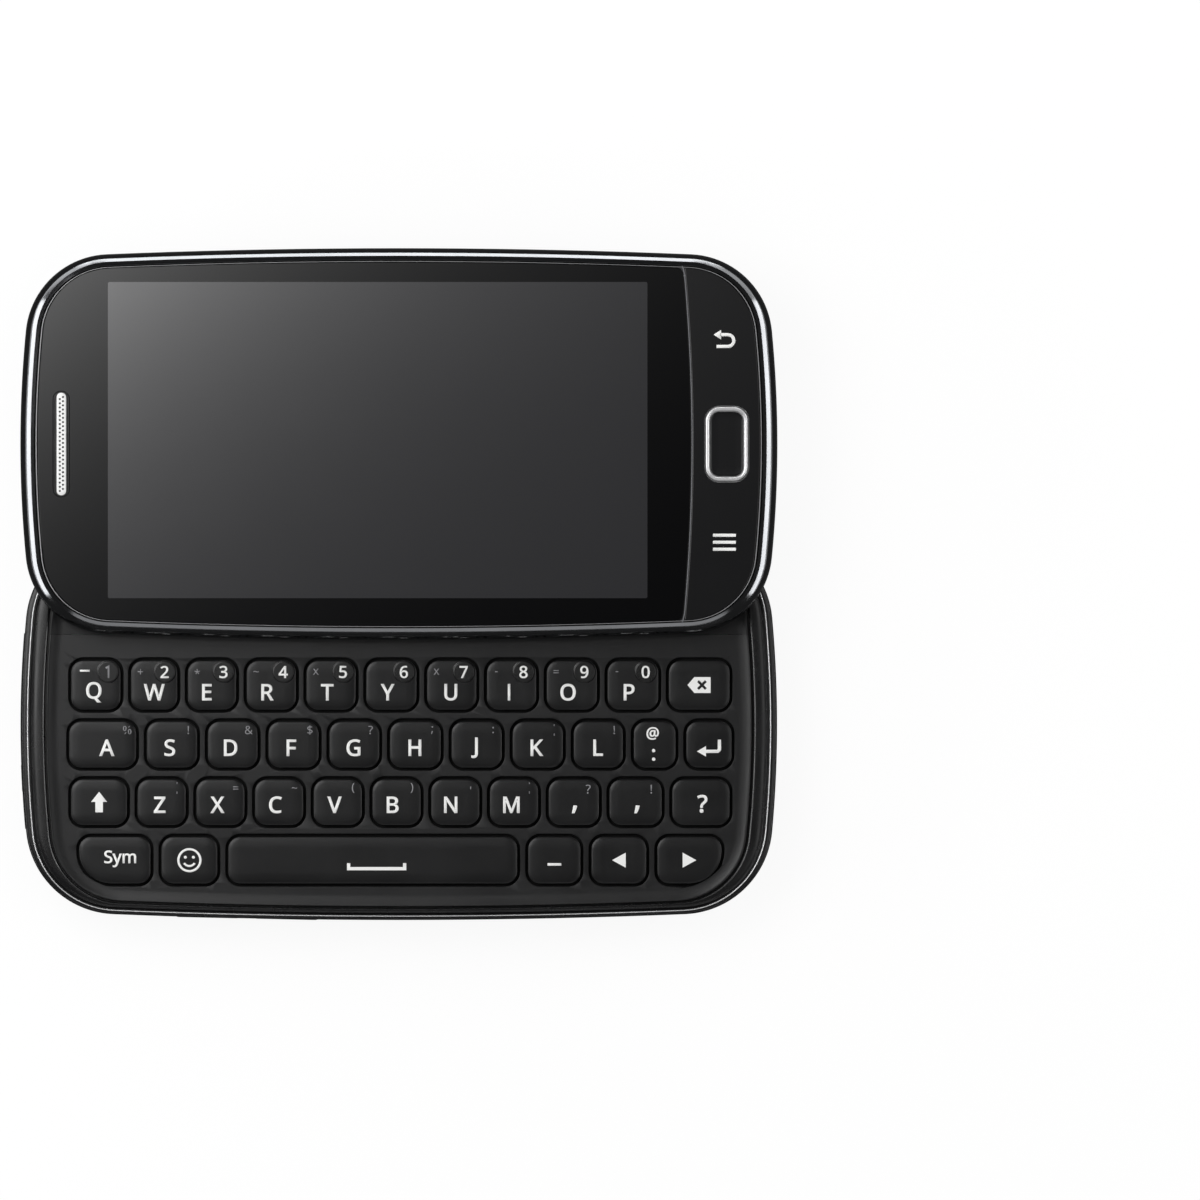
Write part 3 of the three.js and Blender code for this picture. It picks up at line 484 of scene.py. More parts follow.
@dataclass(frozen=True)
class Plan:
    """Outline of one half: long and short edges that bow outward, joined by tangent corners."""

    half_length: float
    half_width: float
    corner_radius: float
    long_radius: float = 1080
    short_radius: float = 180
    corner_steps: int = 22
    edge_steps: int = 9

    def inset(self, end: float, side: float) -> "Plan":
        """The outline drawn in by one distance at the short ends and one at the long sides."""
        return Plan(
            self.half_length - end,
            self.half_width - side,
            self.corner_radius - (end + side) / 2,
            self.long_radius - side,
            self.short_radius - end,
        )

    def points(self) -> Points:
        """The outline as points, anticlockwise from the middle of the right end."""
        long_centre = Vector((0, self.half_width - self.long_radius))
        short_centre = Vector((self.half_length - self.short_radius, 0))
        long_reach = self.long_radius - self.corner_radius
        short_reach = self.short_radius - self.corner_radius
        between = short_centre - long_centre
        distance = between.length
        along = (long_reach**2 - short_reach**2 + distance**2) / (2 * distance)
        across = math.sqrt(long_reach**2 - along**2)
        unit = between / distance
        corner = long_centre + along * unit + across * Vector((unit.y, -unit.x))
        long_turn = math.atan2(corner.y - long_centre.y, corner.x - long_centre.x)
        short_turn = math.atan2(corner.y - short_centre.y, corner.x - short_centre.x)
        quadrant = arc(short_centre, self.short_radius, 0, short_turn, self.edge_steps)[:-1]
        quadrant += arc(corner, self.corner_radius, short_turn, long_turn, self.corner_steps)
        quadrant += arc(long_centre, self.long_radius, long_turn, math.pi / 2, self.edge_steps)[1:]
        outline = list(quadrant)
        outline += [Vector((-p.x, p.y)) for p in reversed(quadrant[:-1])]
        outline += [Vector((-p.x, -p.y)) for p in quadrant[1:]]
        outline += [Vector((p.x, -p.y)) for p in reversed(quadrant[1:-1])]
        return outline

    def drawn(self, end: float, side: float | None = None) -> Points:
        """The outline's points, drawn in at the ends and sides, or by one distance all round."""
        return self.inset(end, end if side is None else side).points()

    def long_side(self, x: float, side: Side) -> tuple[Vector, float]:
        """Finds a place on a long side.

        Args:
            x: the place along the side.
            side: which side.

        Returns:
            The point, and the way out of it as a turn of +Y about Z.
        """
        lean = math.asin(x / self.long_radius)
        y = self.half_width - self.long_radius * (1 - math.cos(lean))
        return Vector((x, side.value * y)), -lean if side is Side.FAR else math.pi + lean

    def left_end(self, y: float) -> tuple[Vector, float]:
        """Finds a place on the left end, as a point and a turn of +Y about Z."""
        lean = math.asin(y / self.short_radius)
        x = self.half_length - self.short_radius * (1 - math.cos(lean))
        return Vector((-x, y)), math.pi / 2 - lean


def soften(path: Table, steps: int = 4) -> list[tuple[float, ...]]:
    """Rounds the corners of a section line.

    Args:
        path: points whose last number is how far along each leg the rounding reaches.
        steps: steps in each rounded corner.

    Returns:
        The points without that last number, with a curve for each rounded corner.
    """
    ends = [Vector(point[:-1]) for point in path]
    line: list[tuple[float, ...]] = []
    for i, corner in enumerate(ends):
        reach = path[i][-1]
        if reach == 0 or i in (0, len(ends) - 1):
            line.append(tuple(corner))
            continue
        before, after = ends[i - 1] - corner, ends[i + 1] - corner
        start = corner + before * min(reach / before.length, MOST_OF_LEG)
        end = corner + after * min(reach / after.length, MOST_OF_LEG)
        for step in range(steps + 1):
            t = step / steps
            line.append(tuple(start * (1 - t) ** 2 + corner * 2 * t * (1 - t) + end * t**2))
    return line


@contextmanager
def opened(mesh: Mesh) -> Iterator[bmesh.types.BMesh]:
    """Opens a mesh for work on its faces, and writes them back."""
    work = bmesh.new()
    work.from_mesh(mesh)
    yield work
    work.to_mesh(mesh)
    work.free()


class MeshBuilder:
    """Collects the points and faces of one piece, in millimetres."""

    def __init__(self) -> None:
        """Starts with nothing."""
        self.points: list[tuple[float, float, float]] = []
        self.faces: list[tuple[int, ...]] = []

    def ring(self, outline: Points, z: float) -> range:
        """Adds a level outline at a height, and gives the indices of its points."""
        self.points += [(p.x, p.y, z) for p in outline]
        return range(len(self.points) - len(outline), len(self.points))

    def strip(self, low: Sequence[int], high: Sequence[int]) -> None:
        """Joins two rings of equal count with quads that face away from the inside."""
        count = len(low)
        for i in range(count):
            after = (i + 1) % count
            self.faces.append((low[i], low[after], high[after], high[i]))

    def loft(self, rings: Sequence[Sequence[int]], ends: Ends = Ends.CAPPED) -> None:
        """Skins a run of rings.

        Args:
            rings: the rings from start to end.
            ends: what becomes of the first and the last.
        """
        for low, high in zip(rings, rings[1:]):
            self.strip(low, high)
        if ends is Ends.JOINED:
            self.strip(rings[-1], rings[0])
        if ends is Ends.CAPPED:
            self.faces.append(tuple(reversed(rings[0])))
        if ends in (Ends.CAPPED, Ends.LAST):
            self.faces.append(tuple(rings[-1]))

    def sweep(
        self, outline: Callable[..., Points], section: Table, ends: Ends = Ends.CAPPED
    ) -> "MeshBuilder":
        """Skins a section round an outline: each ring's row has what the outline takes, and a height."""
        self.loft([self.ring(outline(*size), z) for *size, z in section], ends)
        return self

    def sheet(self, outline: Points, holes: Sequence[Points], z: float, up: bool = True) -> None:
        """Fills a flat outline that has holes.

        Args:
            outline: the outer edge.
            holes: the edges of the holes.
            z: the height of the sheet.
            up: whether it faces up.
        """
        points, faces = filled([outline, *holes])
        base = len(self.points)
        self.points += [(p.x, p.y, z) for p in points]
        for face, sources in faces:
            if list(sources) == [0]:
                order = face if up else reversed(face)
                self.faces.append(tuple(base + i for i in order))

    def pierced(
        self, upper: Points, lower: Points, holes: Sequence[Points], top: float, bottom: float
    ) -> None:
        """Adds both faces of a plate and the walls of the holes through it.

        Args:
            upper: the edge of its upper face.
            lower: the edge of its lower face.
            holes: the edges of the holes.
            top: the height of the upper face.
            bottom: the height of the lower face.
        """
        self.sheet(upper, holes, top)
        self.sheet(lower, holes, bottom, up=False)
        for hole in holes:
            self.loft([self.ring(hole, z) for z in (top, bottom)], Ends.OPEN)

    def place(self, turn: float, shift: Vector) -> None:
        """Turns everything about Z by an angle, then moves it."""
        cosine, sine = math.cos(turn), math.sin(turn)
        self.points = [
            (x * cosine - y * sine + shift.x, x * sine + y * cosine + shift.y, z + shift.z)
            for x, y, z in self.points
        ]

    def object(self, name: str) -> Object:
        """Makes the Blender object, in metres.

        Args:
            name: the object's name.

        Returns:
            The new object, linked to the scene.
        """
        mesh = bpy.data.meshes.new(name)
        mesh.from_pydata([Vector(p) * MM for p in self.points], [], self.faces)
        with opened(mesh) as work:
            bmesh.ops.remove_doubles(work, verts=work.verts, dist=1e-8)
            bmesh.ops.recalc_face_normals(work, faces=work.faces)
        return linked(name, mesh)


def prism(outline: Points, bottom: float, top: float) -> MeshBuilder:
    """Builds an upright prism between two heights."""
    return MeshBuilder().sweep(lambda: outline, ((bottom,), (top,)))


def plain_rectangle(left: float, right: float, near: float, far: float) -> Points:
    """Outline of a plain rectangle, anticlockwise."""
    return [Vector(p) for p in ((left, near), (right, near), (right, far), (left, far))]


def block(left: float, right: float, near: float, far: float, bottom: float, top: float) -> MeshBuilder:
    """Builds a box between six planes, for cutting with."""
    return prism(plain_rectangle(left, right, near, far), bottom, top)


def combine(
    piece: Object, tools: Sequence[MeshBuilder | Object], operation: str
) -> Object:
    """Cuts, trims or joins a piece with other shapes, which are used up.

    Args:
        piece: the piece to change.
        tools: closed shapes.
        operation: DIFFERENCE, INTERSECT or UNION.

    Returns:
        The same object with its new mesh.
    """
    cutters = [tool.object("tool") if isinstance(tool, MeshBuilder) else tool for tool in tools]
    for cutter in cutters:
        step = piece.modifiers.new("combine", "BOOLEAN")
        step.operation, step.solver, step.object = operation, "EXACT", cutter
    mesh = shaped_mesh(piece)
    piece.modifiers.clear()
    for cutter in cutters:
        bpy.data.objects.remove(cutter)
    mesh.name = piece.name
    piece.data = mesh
    return piece


def finish_piece(
    piece: Object,
    body: str,
    slot: Slot,
    finish: Finish,
    replaces: Sequence[str] = (),
    crease: float = 32,
) -> Object:
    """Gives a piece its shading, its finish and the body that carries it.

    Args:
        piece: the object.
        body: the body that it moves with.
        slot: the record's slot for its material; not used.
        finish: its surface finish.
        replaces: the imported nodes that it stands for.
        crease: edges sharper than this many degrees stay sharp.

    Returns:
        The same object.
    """
    piece.data.materials.clear()
    piece.data.materials.append(finish.material())
    piece.data.shade_smooth()
    piece.data.set_sharp_from_angle(angle=math.radians(crease))
    weighted = piece.modifiers.new("weighted_normals", "WEIGHTED_NORMAL")
    weighted.keep_sharp = True
    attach(piece, body)
    if replaces:
        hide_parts(*replaces)
    LOG.info("%s: %d faces on %s", piece.name, len(piece.data.polygons), body)
    return piece


def dress_node(node: str, finish: Finish) -> None:
    """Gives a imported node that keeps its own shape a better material."""
    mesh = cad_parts[node].data
    mesh.materials.clear()
    mesh.materials.append(finish.material())
    LOG.info("%s keeps its shape in %s", node, finish.name)


@dataclass(frozen=True)
class Box:
    """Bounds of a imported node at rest, in millimetres."""

    left: float
    right: float
    near: float
    far: float
    bottom: float
    top: float

    @classmethod
    def of(cls, node: str) -> "Box":
        """Reads a node's bounds from the imported model."""
        low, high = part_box(node)
        return cls(*(value / MM for pair in zip(low, high) for value in pair))

    @property
    def middle(self) -> Vector:
        """The centre in plan."""
        return Vector(((self.left + self.right) / 2, (self.near + self.far) / 2))

    @property
    def size(self) -> Vector:
        """Length along X and width along Y."""
        return Vector((self.right - self.left, self.far - self.near))

    def outline(self, margin: float, radii: float | Sequence[float], steps: int) -> Points:
        """The outline in plan, grown by a margin, with rounded corners."""
        left, right, near, far = self.left, self.right, self.near, self.far
        return rounded_rectangle(left - margin, right + margin, near - margin, far + margin, radii, steps)


class FlatArt:
    """Printed shapes drawn in plan, then laid on the surface that carries them."""

    glyphs: dict[tuple[str, float], tuple[Points, list[tuple[int, ...]]]] = {}
    face: bpy.types.VectorFont | None = None
    stem = 0.15  # of a capital's height
    # Characters drawn without the foot that the face gives them, in half heights
    plain = {"I": ((0.0, 1.0), (0.0, -1.0)), "1": ((-0.34, 0.62), (0.12, 0.9), (0.12, -1.0))}

    def __init__(self) -> None:
        """Starts with a bare surface."""
        self.sheet = MeshBuilder()

    @classmethod
    def load_face(cls) -> bpy.types.VectorFont:
        """Loads the plain sans face that comes with Blender, or the built-in one."""
        if cls.face is None:
            fonts = Path(bpy.utils.system_resource("DATAFILES", path="fonts"))
            path = fonts / "NotoSansHebrew-Regular.woff2"
            cls.face = bpy.data.fonts.load(str(path) if path.exists() else "<builtin>")
        return cls.face

    @staticmethod
    def contours(mesh: Mesh) -> list[Points]:
        """Walks the closed outlines of a mesh that has edges alone.

        Args:
            mesh: the mesh.

        Returns:
            One list of points for each outline.
        """
        linked: dict[int, list[int]] = {}
        for edge in mesh.edges:
            one, other = edge.vertices
            linked.setdefault(one, []).append(other)
            linked.setdefault(other, []).append(one)
        walks = []
        while linked:
            at = min(linked)
            walk = []
            while at in linked:
                walk.append(mesh.vertices[at].co.xy.copy())
                onward = [other for other in linked.pop(at) if other in linked]
                at = onward[0] if onward else -1
            walks.append([p for i, p in enumerate(walk) if (p - walk[i - 1]).length > 1e-5])
        return walks

    @classmethod
    def glyph(cls, text: str, weight: float) -> tuple[Points, list[tuple[int, ...]]]:
        """Gives the filled outline of some text at a font size of 1.

        Args:
            text: the characters.
            weight: how far the strokes are thickened.

        Returns:
            The points and the faces.
        """
        if (text, weight) not in cls.glyphs:
            curve = bpy.data.curves.new("glyphs", "FONT")
            curve.body, curve.fill_mode, curve.resolution_u = text, "NONE" if weight else "FRONT", 5
            curve.font = cls.load_face()
            holder = linked("glyphs", curve)
            mesh = shaped_mesh(holder)
            bpy.data.objects.remove(holder)
            if weight:
                cls.glyphs[text, weight] = cls.thickened(cls.contours(mesh), weight)
            else:
                points = [v.co.xy.copy() for v in mesh.vertices]
                cls.glyphs[text, weight] = points, [tuple(f.vertices) for f in mesh.polygons]
        return cls.glyphs[text, weight]

    @staticmethod
    def thickened(walks: list[Points], weight: float) -> tuple[Points, list[tuple[int, ...]]]:
        """Fills outlines after moving their edges out.

        Args:
            walks: the outlines, with holes that run the other way round.
            weight: how far the edges move.

        Returns:
            The points and the faces.
        """
        areas = [turned_area(walk) for walk in walks]
        solid = math.copysign(1, max(areas, key=abs))
        gains = [1 if area * solid > 0 else -1 for area in areas]
        loops = [walk if area > 0 else walk[::-1] for walk, area in zip(walks, areas)]
        points, faces = filled([drawn_in(loop, -gain * weight) for loop, gain in zip(loops, gains)])
        inked = [tuple(face) for face, sources in faces if sum(gains[source] for source in sources) > 0]
        return list(points), inked

    def text(self, text: str, centre: Vector, cap_height: float, weight: float = 0.016) -> None:
        """Draws text.

        Args:
            text: the characters.
            centre: the middle of what they cover.
            cap_height: the height of a capital.
            weight: how far the strokes are thickened, at a font size of 1.
        """
        if text in self.plain:
            line = [centre + Vector(point) * cap_height / 2 for point in self.plain[text]]
            self.stroke(line, cap_height * self.stem)
            return
        capital = [p.y for p in self.glyph("H", weight)[0]]
        scale = cap_height / (max(capital) - min(capital))
        points, faces = self.glyph(text, weight)
        low = Vector((min(p.x for p in points), min(p.y for p in points)))
        high = Vector((max(p.x for p in points), max(p.y for p in points)))
        middle = (low + high) / 2
        base = len(self.sheet.points)
        self.sheet.points += [(*((p - middle) * scale + centre), 0.0) for p in points]
        self.sheet.faces += [tuple(base + i for i in face) for face in faces]

    def shape(self, outline: Points, holes: Sequence[Points] = ()) -> None:
        """Fills an outline that may have holes."""
        self.sheet.sheet(outline, holes, 0.0)

    def disc(self, centre: Vector, radius: float, hole: float = 0.0, steps: int = 28) -> None:
        """Fills a disc, or a ring if its hole has a radius."""
        self.shape(circle(centre, radius, steps), [circle(centre, hole, steps)] if hole else ())

    def stroke(self, line: Points, width: float) -> Points:
        """Draws a line of even width with mitred corners.

        Args:
            line: its points.
            width: its width.

        Returns:
            The outline of what was drawn.
        """
        legs = [(after - before).normalized() for before, after in zip(line, line[1:])]
        left, right = [], []
        for i, point in enumerate(line):
            normals = [Vector((-leg.y, leg.x)) for leg in legs[max(i - 1, 0) : i + 1]]
            across = sum(normals, Vector((0, 0))).normalized()
            reach = width / 2 / max(across.dot(normals[0]), LEAST_MITRE)
            left.append(point + across * reach)
            right.append(point - across * reach)
        outline = right + left[::-1]
        self.shape(outline)
        return outline

    def lay(self, name: str, surface: Surface, lift: float) -> Object:
        """Lays the print on a surface as a thin closed film.

        Args:
            name: the object's name.
            surface: gives the surface's height at a place in plan.
            lift: how far the print stands over the surface.

        Returns:
            The new object.
        """
        self.sheet.points = [(x, y, surface(x, y) + lift) for x, y, _ in self.sheet.points]
        film = self.sheet.object(name)
        with opened(film.data) as work:
            for face in work.faces:
                if face.normal.z < 0:
                    face.normal_flip()
        depth = film.modifiers.new("print_depth", "SOLIDIFY")
        depth.thickness, depth.offset = 2 * lift * MM, -1
        return film


@dataclass(frozen=True)
class Mark:
    """One printed character of a key, placed from the key's middle."""

    text: str
    x: float = 0.0
    y: float = 0.0
    cap_height: float = 2.55
    faint: bool = False


@dataclass
class Key:
    """A key cap: retaining flange, straight skirt, rounded shoulder and a low crown."""

    box: Box
    wide_corner: int | None = None
    flange_width: float = 0.52
    flange_thickness: float = 0.3
    flange_chamfer: float = 0.05
    flange_reach: float = 0.3  # how far the flange runs in under the cap
    crown: float = 0.08
    crown_inset: float = 1.6
    shoulder: float = 0.13
    shoulder_turn: float = math.radians(72)
    chamfer: float = 0.15
    chamfer_rise: float = 0.05
    corner_radius: float = 1.85
    wide_corner_radius: float = 5.05
    least_radius: float = 0.2
    least_edge: float = 0.4  # straight edge left between two corners
    corner_steps: int = 9
    shoulder_steps: int = 5
    crown_steps: int = 4
    print_lift: float = 0.012
    badge_radius: float = 1.62
    badge_rise: float = 0.12
    badge_sink: float = 0.3  # depth of the badge's foot under the top, as a share of the crown
    badge_place: tuple[float, float] = (1.93, 1.78)  # from the skirt's right and far edges
    badge_steps: int = 36

    # Badge: growth of its outline, share of its rise
    badge_section = ((0.0, -0.3), (0.0, 0.3), (-0.03, 0.7), (-0.1, 0.95), (-0.2, 1.0))
    # Black ring round it, painted shade that stands for a groove: the same growth, height over its foot
    groove_section = ((-0.02, -0.1), (-0.02, 0.03), (0.14, 0.012), (0.14, -0.1))

    def outline(self, inset: float) -> Points:
        """The cap's outline drawn in from its skirt by a distance."""
        radii = [self.corner_radius] * 4
        if self.wide_corner is not None:
            depth = self.box.size.y - 2 * self.flange_width
            radii[self.wide_corner] = min(
                self.wide_corner_radius, depth - self.corner_radius - self.least_edge
            )
        drawn = [max(radius - inset, self.least_radius) for radius in radii]
        return self.box.outline(-self.flange_width - inset, drawn, self.corner_steps)

    def section(self) -> list[tuple[float, float]]:
        """The cap's section from the foot of its skirt to the middle of the crown."""
        line = [(0.0, self.box.bottom + self.flange_thickness)]
        brow = self.box.top - self.crown - self.chamfer_rise
        shoulder = quarter_round(self.shoulder, self.shoulder_steps, self.shoulder_turn)
        line += [(inset, brow - drop) for inset, drop in shoulder]
        edge = line[-1][0] + self.chamfer
        for step in range(self.crown_steps + 1):
            share = step / self.crown_steps
            line.append((edge + share * self.crown_inset, self.box.top - self.crown * (1 - share) ** 2))
        return line

    def cap(self) -> MeshBuilder:
        """Builds the key cap."""
        return MeshBuilder().sweep(self.outline, self.section())

    def carrier(self) -> MeshBuilder:
        """Builds the flange that keeps the cap under the plate."""
        top, edge = self.box.bottom + self.flange_thickness, -self.flange_width
        section = (
            (edge, self.box.bottom),
            (edge, top - self.flange_chamfer),
            (edge + self.flange_chamfer, top),
            (self.flange_reach, top),
        )
        return MeshBuilder().sweep(self.outline, section)

    @property
    def badge_foot(self) -> float:
        """Height of the foot of the badge."""
        return self.box.top - self.crown * self.badge_sink

    def badge_outline(self, grow: float) -> Points:
        """The outline of the round pad that carries a digit, grown by a distance."""
        from_right, from_far = (self.flange_width + place for place in self.badge_place)
        centre = Vector((self.box.right - from_right, self.box.far - from_far))
        return circle(centre, self.badge_radius + grow, self.badge_steps)

    def badge(self) -> MeshBuilder:
        """Builds the low round pad that carries a digit at the far right corner."""
        section = [(grow, self.badge_foot + rise * self.badge_rise) for grow, rise in self.badge_section]
        return MeshBuilder().sweep(self.badge_outline, section)

    def groove(self) -> MeshBuilder:
        """Builds the black ring round the foot of the badge: painted shade that stands for a groove."""
        section = [(grow, self.badge_foot + rise) for grow, rise in self.groove_section]
        return MeshBuilder().sweep(self.badge_outline, section, Ends.JOINED)


class Keypad:
    """The keys with their legends, each key on its own body."""

    wide_corners = {"key_sym": 2, "key_right": 3}
    # Place of a row's letters from the middle of their keys, and what single letters add along X
    letter_places = {"far": (-0.58, -1.1), "middle": (-0.33, -0.5), "near": (-0.3, -0.4)}
    nudges = {"q": 0.27, "w": 0.6, "e": -0.2, "u": 0.44, "i": 0.2}
    nudges |= {"a": 0.98, "g": 0.2, "h": 0.25, "k": 0.2, "l": 0.3}
    nudges |= {"x": -0.15, "c": -0.25, "v": -0.2, "b": -0.3, "n": -0.4, "m": -0.1}
    # The row's letters, each with its faint second sign
    second_signs = {
        "far": dict(zip("qwertyuiop", " +*~x x-=-")),
        "middle": dict(zip("asdfghjkl", "%!&$?;:|!")),
        "near": dict(zip("zxcvbnm", "|=~()'|")),
    }
    digit_height = 1.87
    faint_height = 1.25
    faint_from_left = (1.43, 1.73)  # from the far left corner of the skirt, in the far row
    faint_from_right = (1.33, 1.33)  # from its far right corner, in the others
    other_marks = {
        "at": [Mark("@", -0.3, 1.7, 1.75), Mark(":", -0.15, -1.6, 2.3)],
        "comma": [Mark(",", 0.1, -1.1, 3.2), Mark("?", 2.2, 2.0, 1.35, True)],
        "period": [Mark(",", 0.2, -1.1, 3.2), Mark("!", 2.4, 2.0, 1.35, True)],
        "question": [Mark("?", 0.2, -0.25, 2.7)],
        "sym": [Mark("Sym", 0.82, 0.2, 1.95)],
    }
    # Lines of an icon with their widths, and its filled outlines, from the key's middle
    icon_lines = {
        "q": (((-2.45, 2.2), (-0.95, 2.2)), 0.3),
        "enter": (((-0.7, -0.55), (1.25, -0.55), (1.5, -0.3), (1.5, 1.25)), 0.5),
        "space": (((-4.3, 0.25), (-4.3, -0.6), (4.3, -0.6), (4.3, 0.25)), 0.5),
        "dash": (((-1.05, -0.65), (1.05, -0.65)), 0.4),
    }
    icon_shapes = {
        "backspace": ((-1.8, 0), (-0.75, -1.22), (1.75, -1.22), (1.75, 1.22), (-0.75, 1.22)),
        "enter": ((-1.95, -0.55), (-0.55, -1.35), (-0.55, 0.25)),
        "shift": ((0, 1.6), (-1.23, 0.05), (-0.58, 0.05), (-0.58, -1.55))
        + ((0.58, -1.55), (0.58, 0.05), (1.23, 0.05)),
        "left": ((1.05, -1.15), (1.05, 1.15), (-1.05, 0)),
        "right": ((1.05, 0), (-1.05, 1.15), (-1.05, -1.15)),
    }
    icon_places = {"enter": (0.1, -0.5), "space": (0.6, -0.7)}
    cross_arm = (0.86, 0.2)  # length and half width
    cross_x = 0.42
    # Face of the smiley key: radii of its ring, eyes and mouth
    face_ring = (1.86, 1.52)
    face_eyes = ((-0.62, 0.45), (0.62, 0.45))
    eye_radius = 0.24
    smile = (0.95, math.radians(212), math.radians(328))
    smile_middle = (0, 0.05)
    smile_width = 0.32
    letter_weight = 0.016

    def __init__(self) -> None:
        """Finds the keys in the imported model."""
        names = [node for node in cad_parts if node.startswith("key_")]
        self.keys = {name: Key(Box.of(name), self.wide_corners.get(name)) for name in names}

    def marks(self, name: str) -> list[Mark]:
        """Lists the characters on a key.

        Args:
            name: the key's node.

        Returns:
            Its marks, empty where it has an icon or nothing.
        """
        key = name.removeprefix("key_")
        half = self.keys[name].box.size / 2 - Vector((1, 1)) * Key.flange_width
        for row, signs in self.second_signs.items():
            if key not in signs:
                continue
            x, y = self.letter_places[row]
            marks = [Mark(key.upper(), x + self.nudges.get(key, 0.0), y)]
            side, (across, along) = 1, self.faint_from_right
            if row == "far":
                digit = str((list(signs).index(key) + 1) % 10)
                place = (half.x - Key.badge_place[0], half.y - Key.badge_place[1])
                marks.append(Mark(digit, *place, self.digit_height))
                side, (across, along) = -1, self.faint_from_left
            if signs[key] != " ":
                place = (side * (half.x - across), half.y - along)
                marks.append(Mark(signs[key], *place, self.faint_height, True))
            return marks
        return self.other_marks.get(key, [])

    def cross(self) -> list[tuple[float, float]]:
        """The outline of the backspace key's slanted cross, from the key's middle."""
        arm, half = self.cross_arm
        quarter = [(arm, -half), (arm, half), (half, half)]
        plus = []
        for _ in range(4):
            plus += quarter
            quarter = [(-y, x) for x, y in quarter]
        lean = math.sqrt(0.5)
        return [(self.cross_x + (x - y) * lean, (x + y) * lean) for x, y in plus]

    def icon(self, key: str, art: FlatArt, middle: Vector) -> None:
        """Draws the icon of a key that has one.

        Args:
            key: the key's short name.
            art: the print to draw on.
            middle: the key's middle.
        """
        middle = middle + Vector(self.icon_places.get(key, (0, 0)))
        if key in self.icon_lines:
            line, width = self.icon_lines[key]
            art.stroke(placed(middle, line), width)
        if key in self.icon_shapes:
            holes = [placed(middle, self.cross())] if key == "backspace" else []
            art.shape(placed(middle, self.icon_shapes[key]), holes)
        if key == "smiley":
            art.disc(middle, *self.face_ring, 40)
            for eye in placed(middle, self.face_eyes):
                art.disc(eye, self.eye_radius, steps=14)
            art.stroke(arc(middle + Vector(self.smile_middle), *self.smile, 12), self.smile_width)

    @staticmethod
    def top_of(cap: Object) -> Surface:
        """Reads the top of a cap.

        Args:
            cap: the cap's object.

        Returns:
            A function that gives its height at a place in plan.
        """
        tree = BVHTree.FromObject(cap, bpy.context.evaluated_depsgraph_get())

        def height(x: float, y: float) -> float:
            """Height of the cap over a place in plan."""
            return tree.ray_cast(Vector((x * MM, y * MM, 1.0)), Vector((0, 0, -1)))[0].z / MM

        return height

    def print_legends(self, name: str, marks: Sequence[Mark], on_cap: Surface) -> None:
        """Prints a key's legends, the digit on its badge, and the faint second sign.

        Args:
            name: the key's node.
            marks: its characters.
            on_cap: gives the height of its cap.
        """
        key = self.keys[name]
        pad_top = key.badge_foot + key.badge_rise
        inks = {"legend": LEGEND_INK, "digit": LEGEND_INK, "faint": FAINT_INK}
        if name == "key_q":
            inks["digit"] = FAINT_INK
        arts = {kind: FlatArt() for kind in inks}
        for mark in marks:
            kind = "faint" if mark.faint else "digit" if mark.text.isdigit() else "legend"
            weight = 0.0 if inks[kind] is FAINT_INK else self.letter_weight
            arts[kind].text(mark.text, key.box.middle + Vector((mark.x, mark.y)), mark.cap_height, weight)
        self.icon(name.removeprefix("key_"), arts["legend"], key.box.middle)
        for kind, art in arts.items():
            if art.sheet.faces:
                surface = (lambda x, y: pad_top) if kind == "digit" else on_cap
                film = art.lay(f"{kind}_{name}", surface, key.print_lift)
                finish_piece(film, name, Slot.KEYS, inks[kind])

    def build(self) -> None:
        """Builds each cap, its badge, its print and its faint second print."""
        for name, key in self.keys.items():
            cap = key.cap().object(f"cap_{name}")
            on_cap = self.top_of(cap)
            finish_piece(cap, name, Slot.KEYS, KEY_LACQUER, [name], crease=50)
            # The carrier is near black: painted shade in the gap round each cap
            finish_piece(key.carrier().object(f"carrier_{name}"), name, Slot.KEYS, GAP_SHADE_RUBBER)
            marks = self.marks(name)
            if any(mark.text.isdigit() for mark in marks):
                finish_piece(key.badge().object(f"badge_{name}"), name, Slot.KEYS, BADGE_LACQUER)
                # A black ring as painted shade round the badge's foot
                finish_piece(key.groove().object(f"groove_{name}"), name, Slot.KEYS, GLOSS_ABS)
            self.print_legends(name, marks, on_cap)
        LOG.info("keypad: %d keys", len(self.keys))


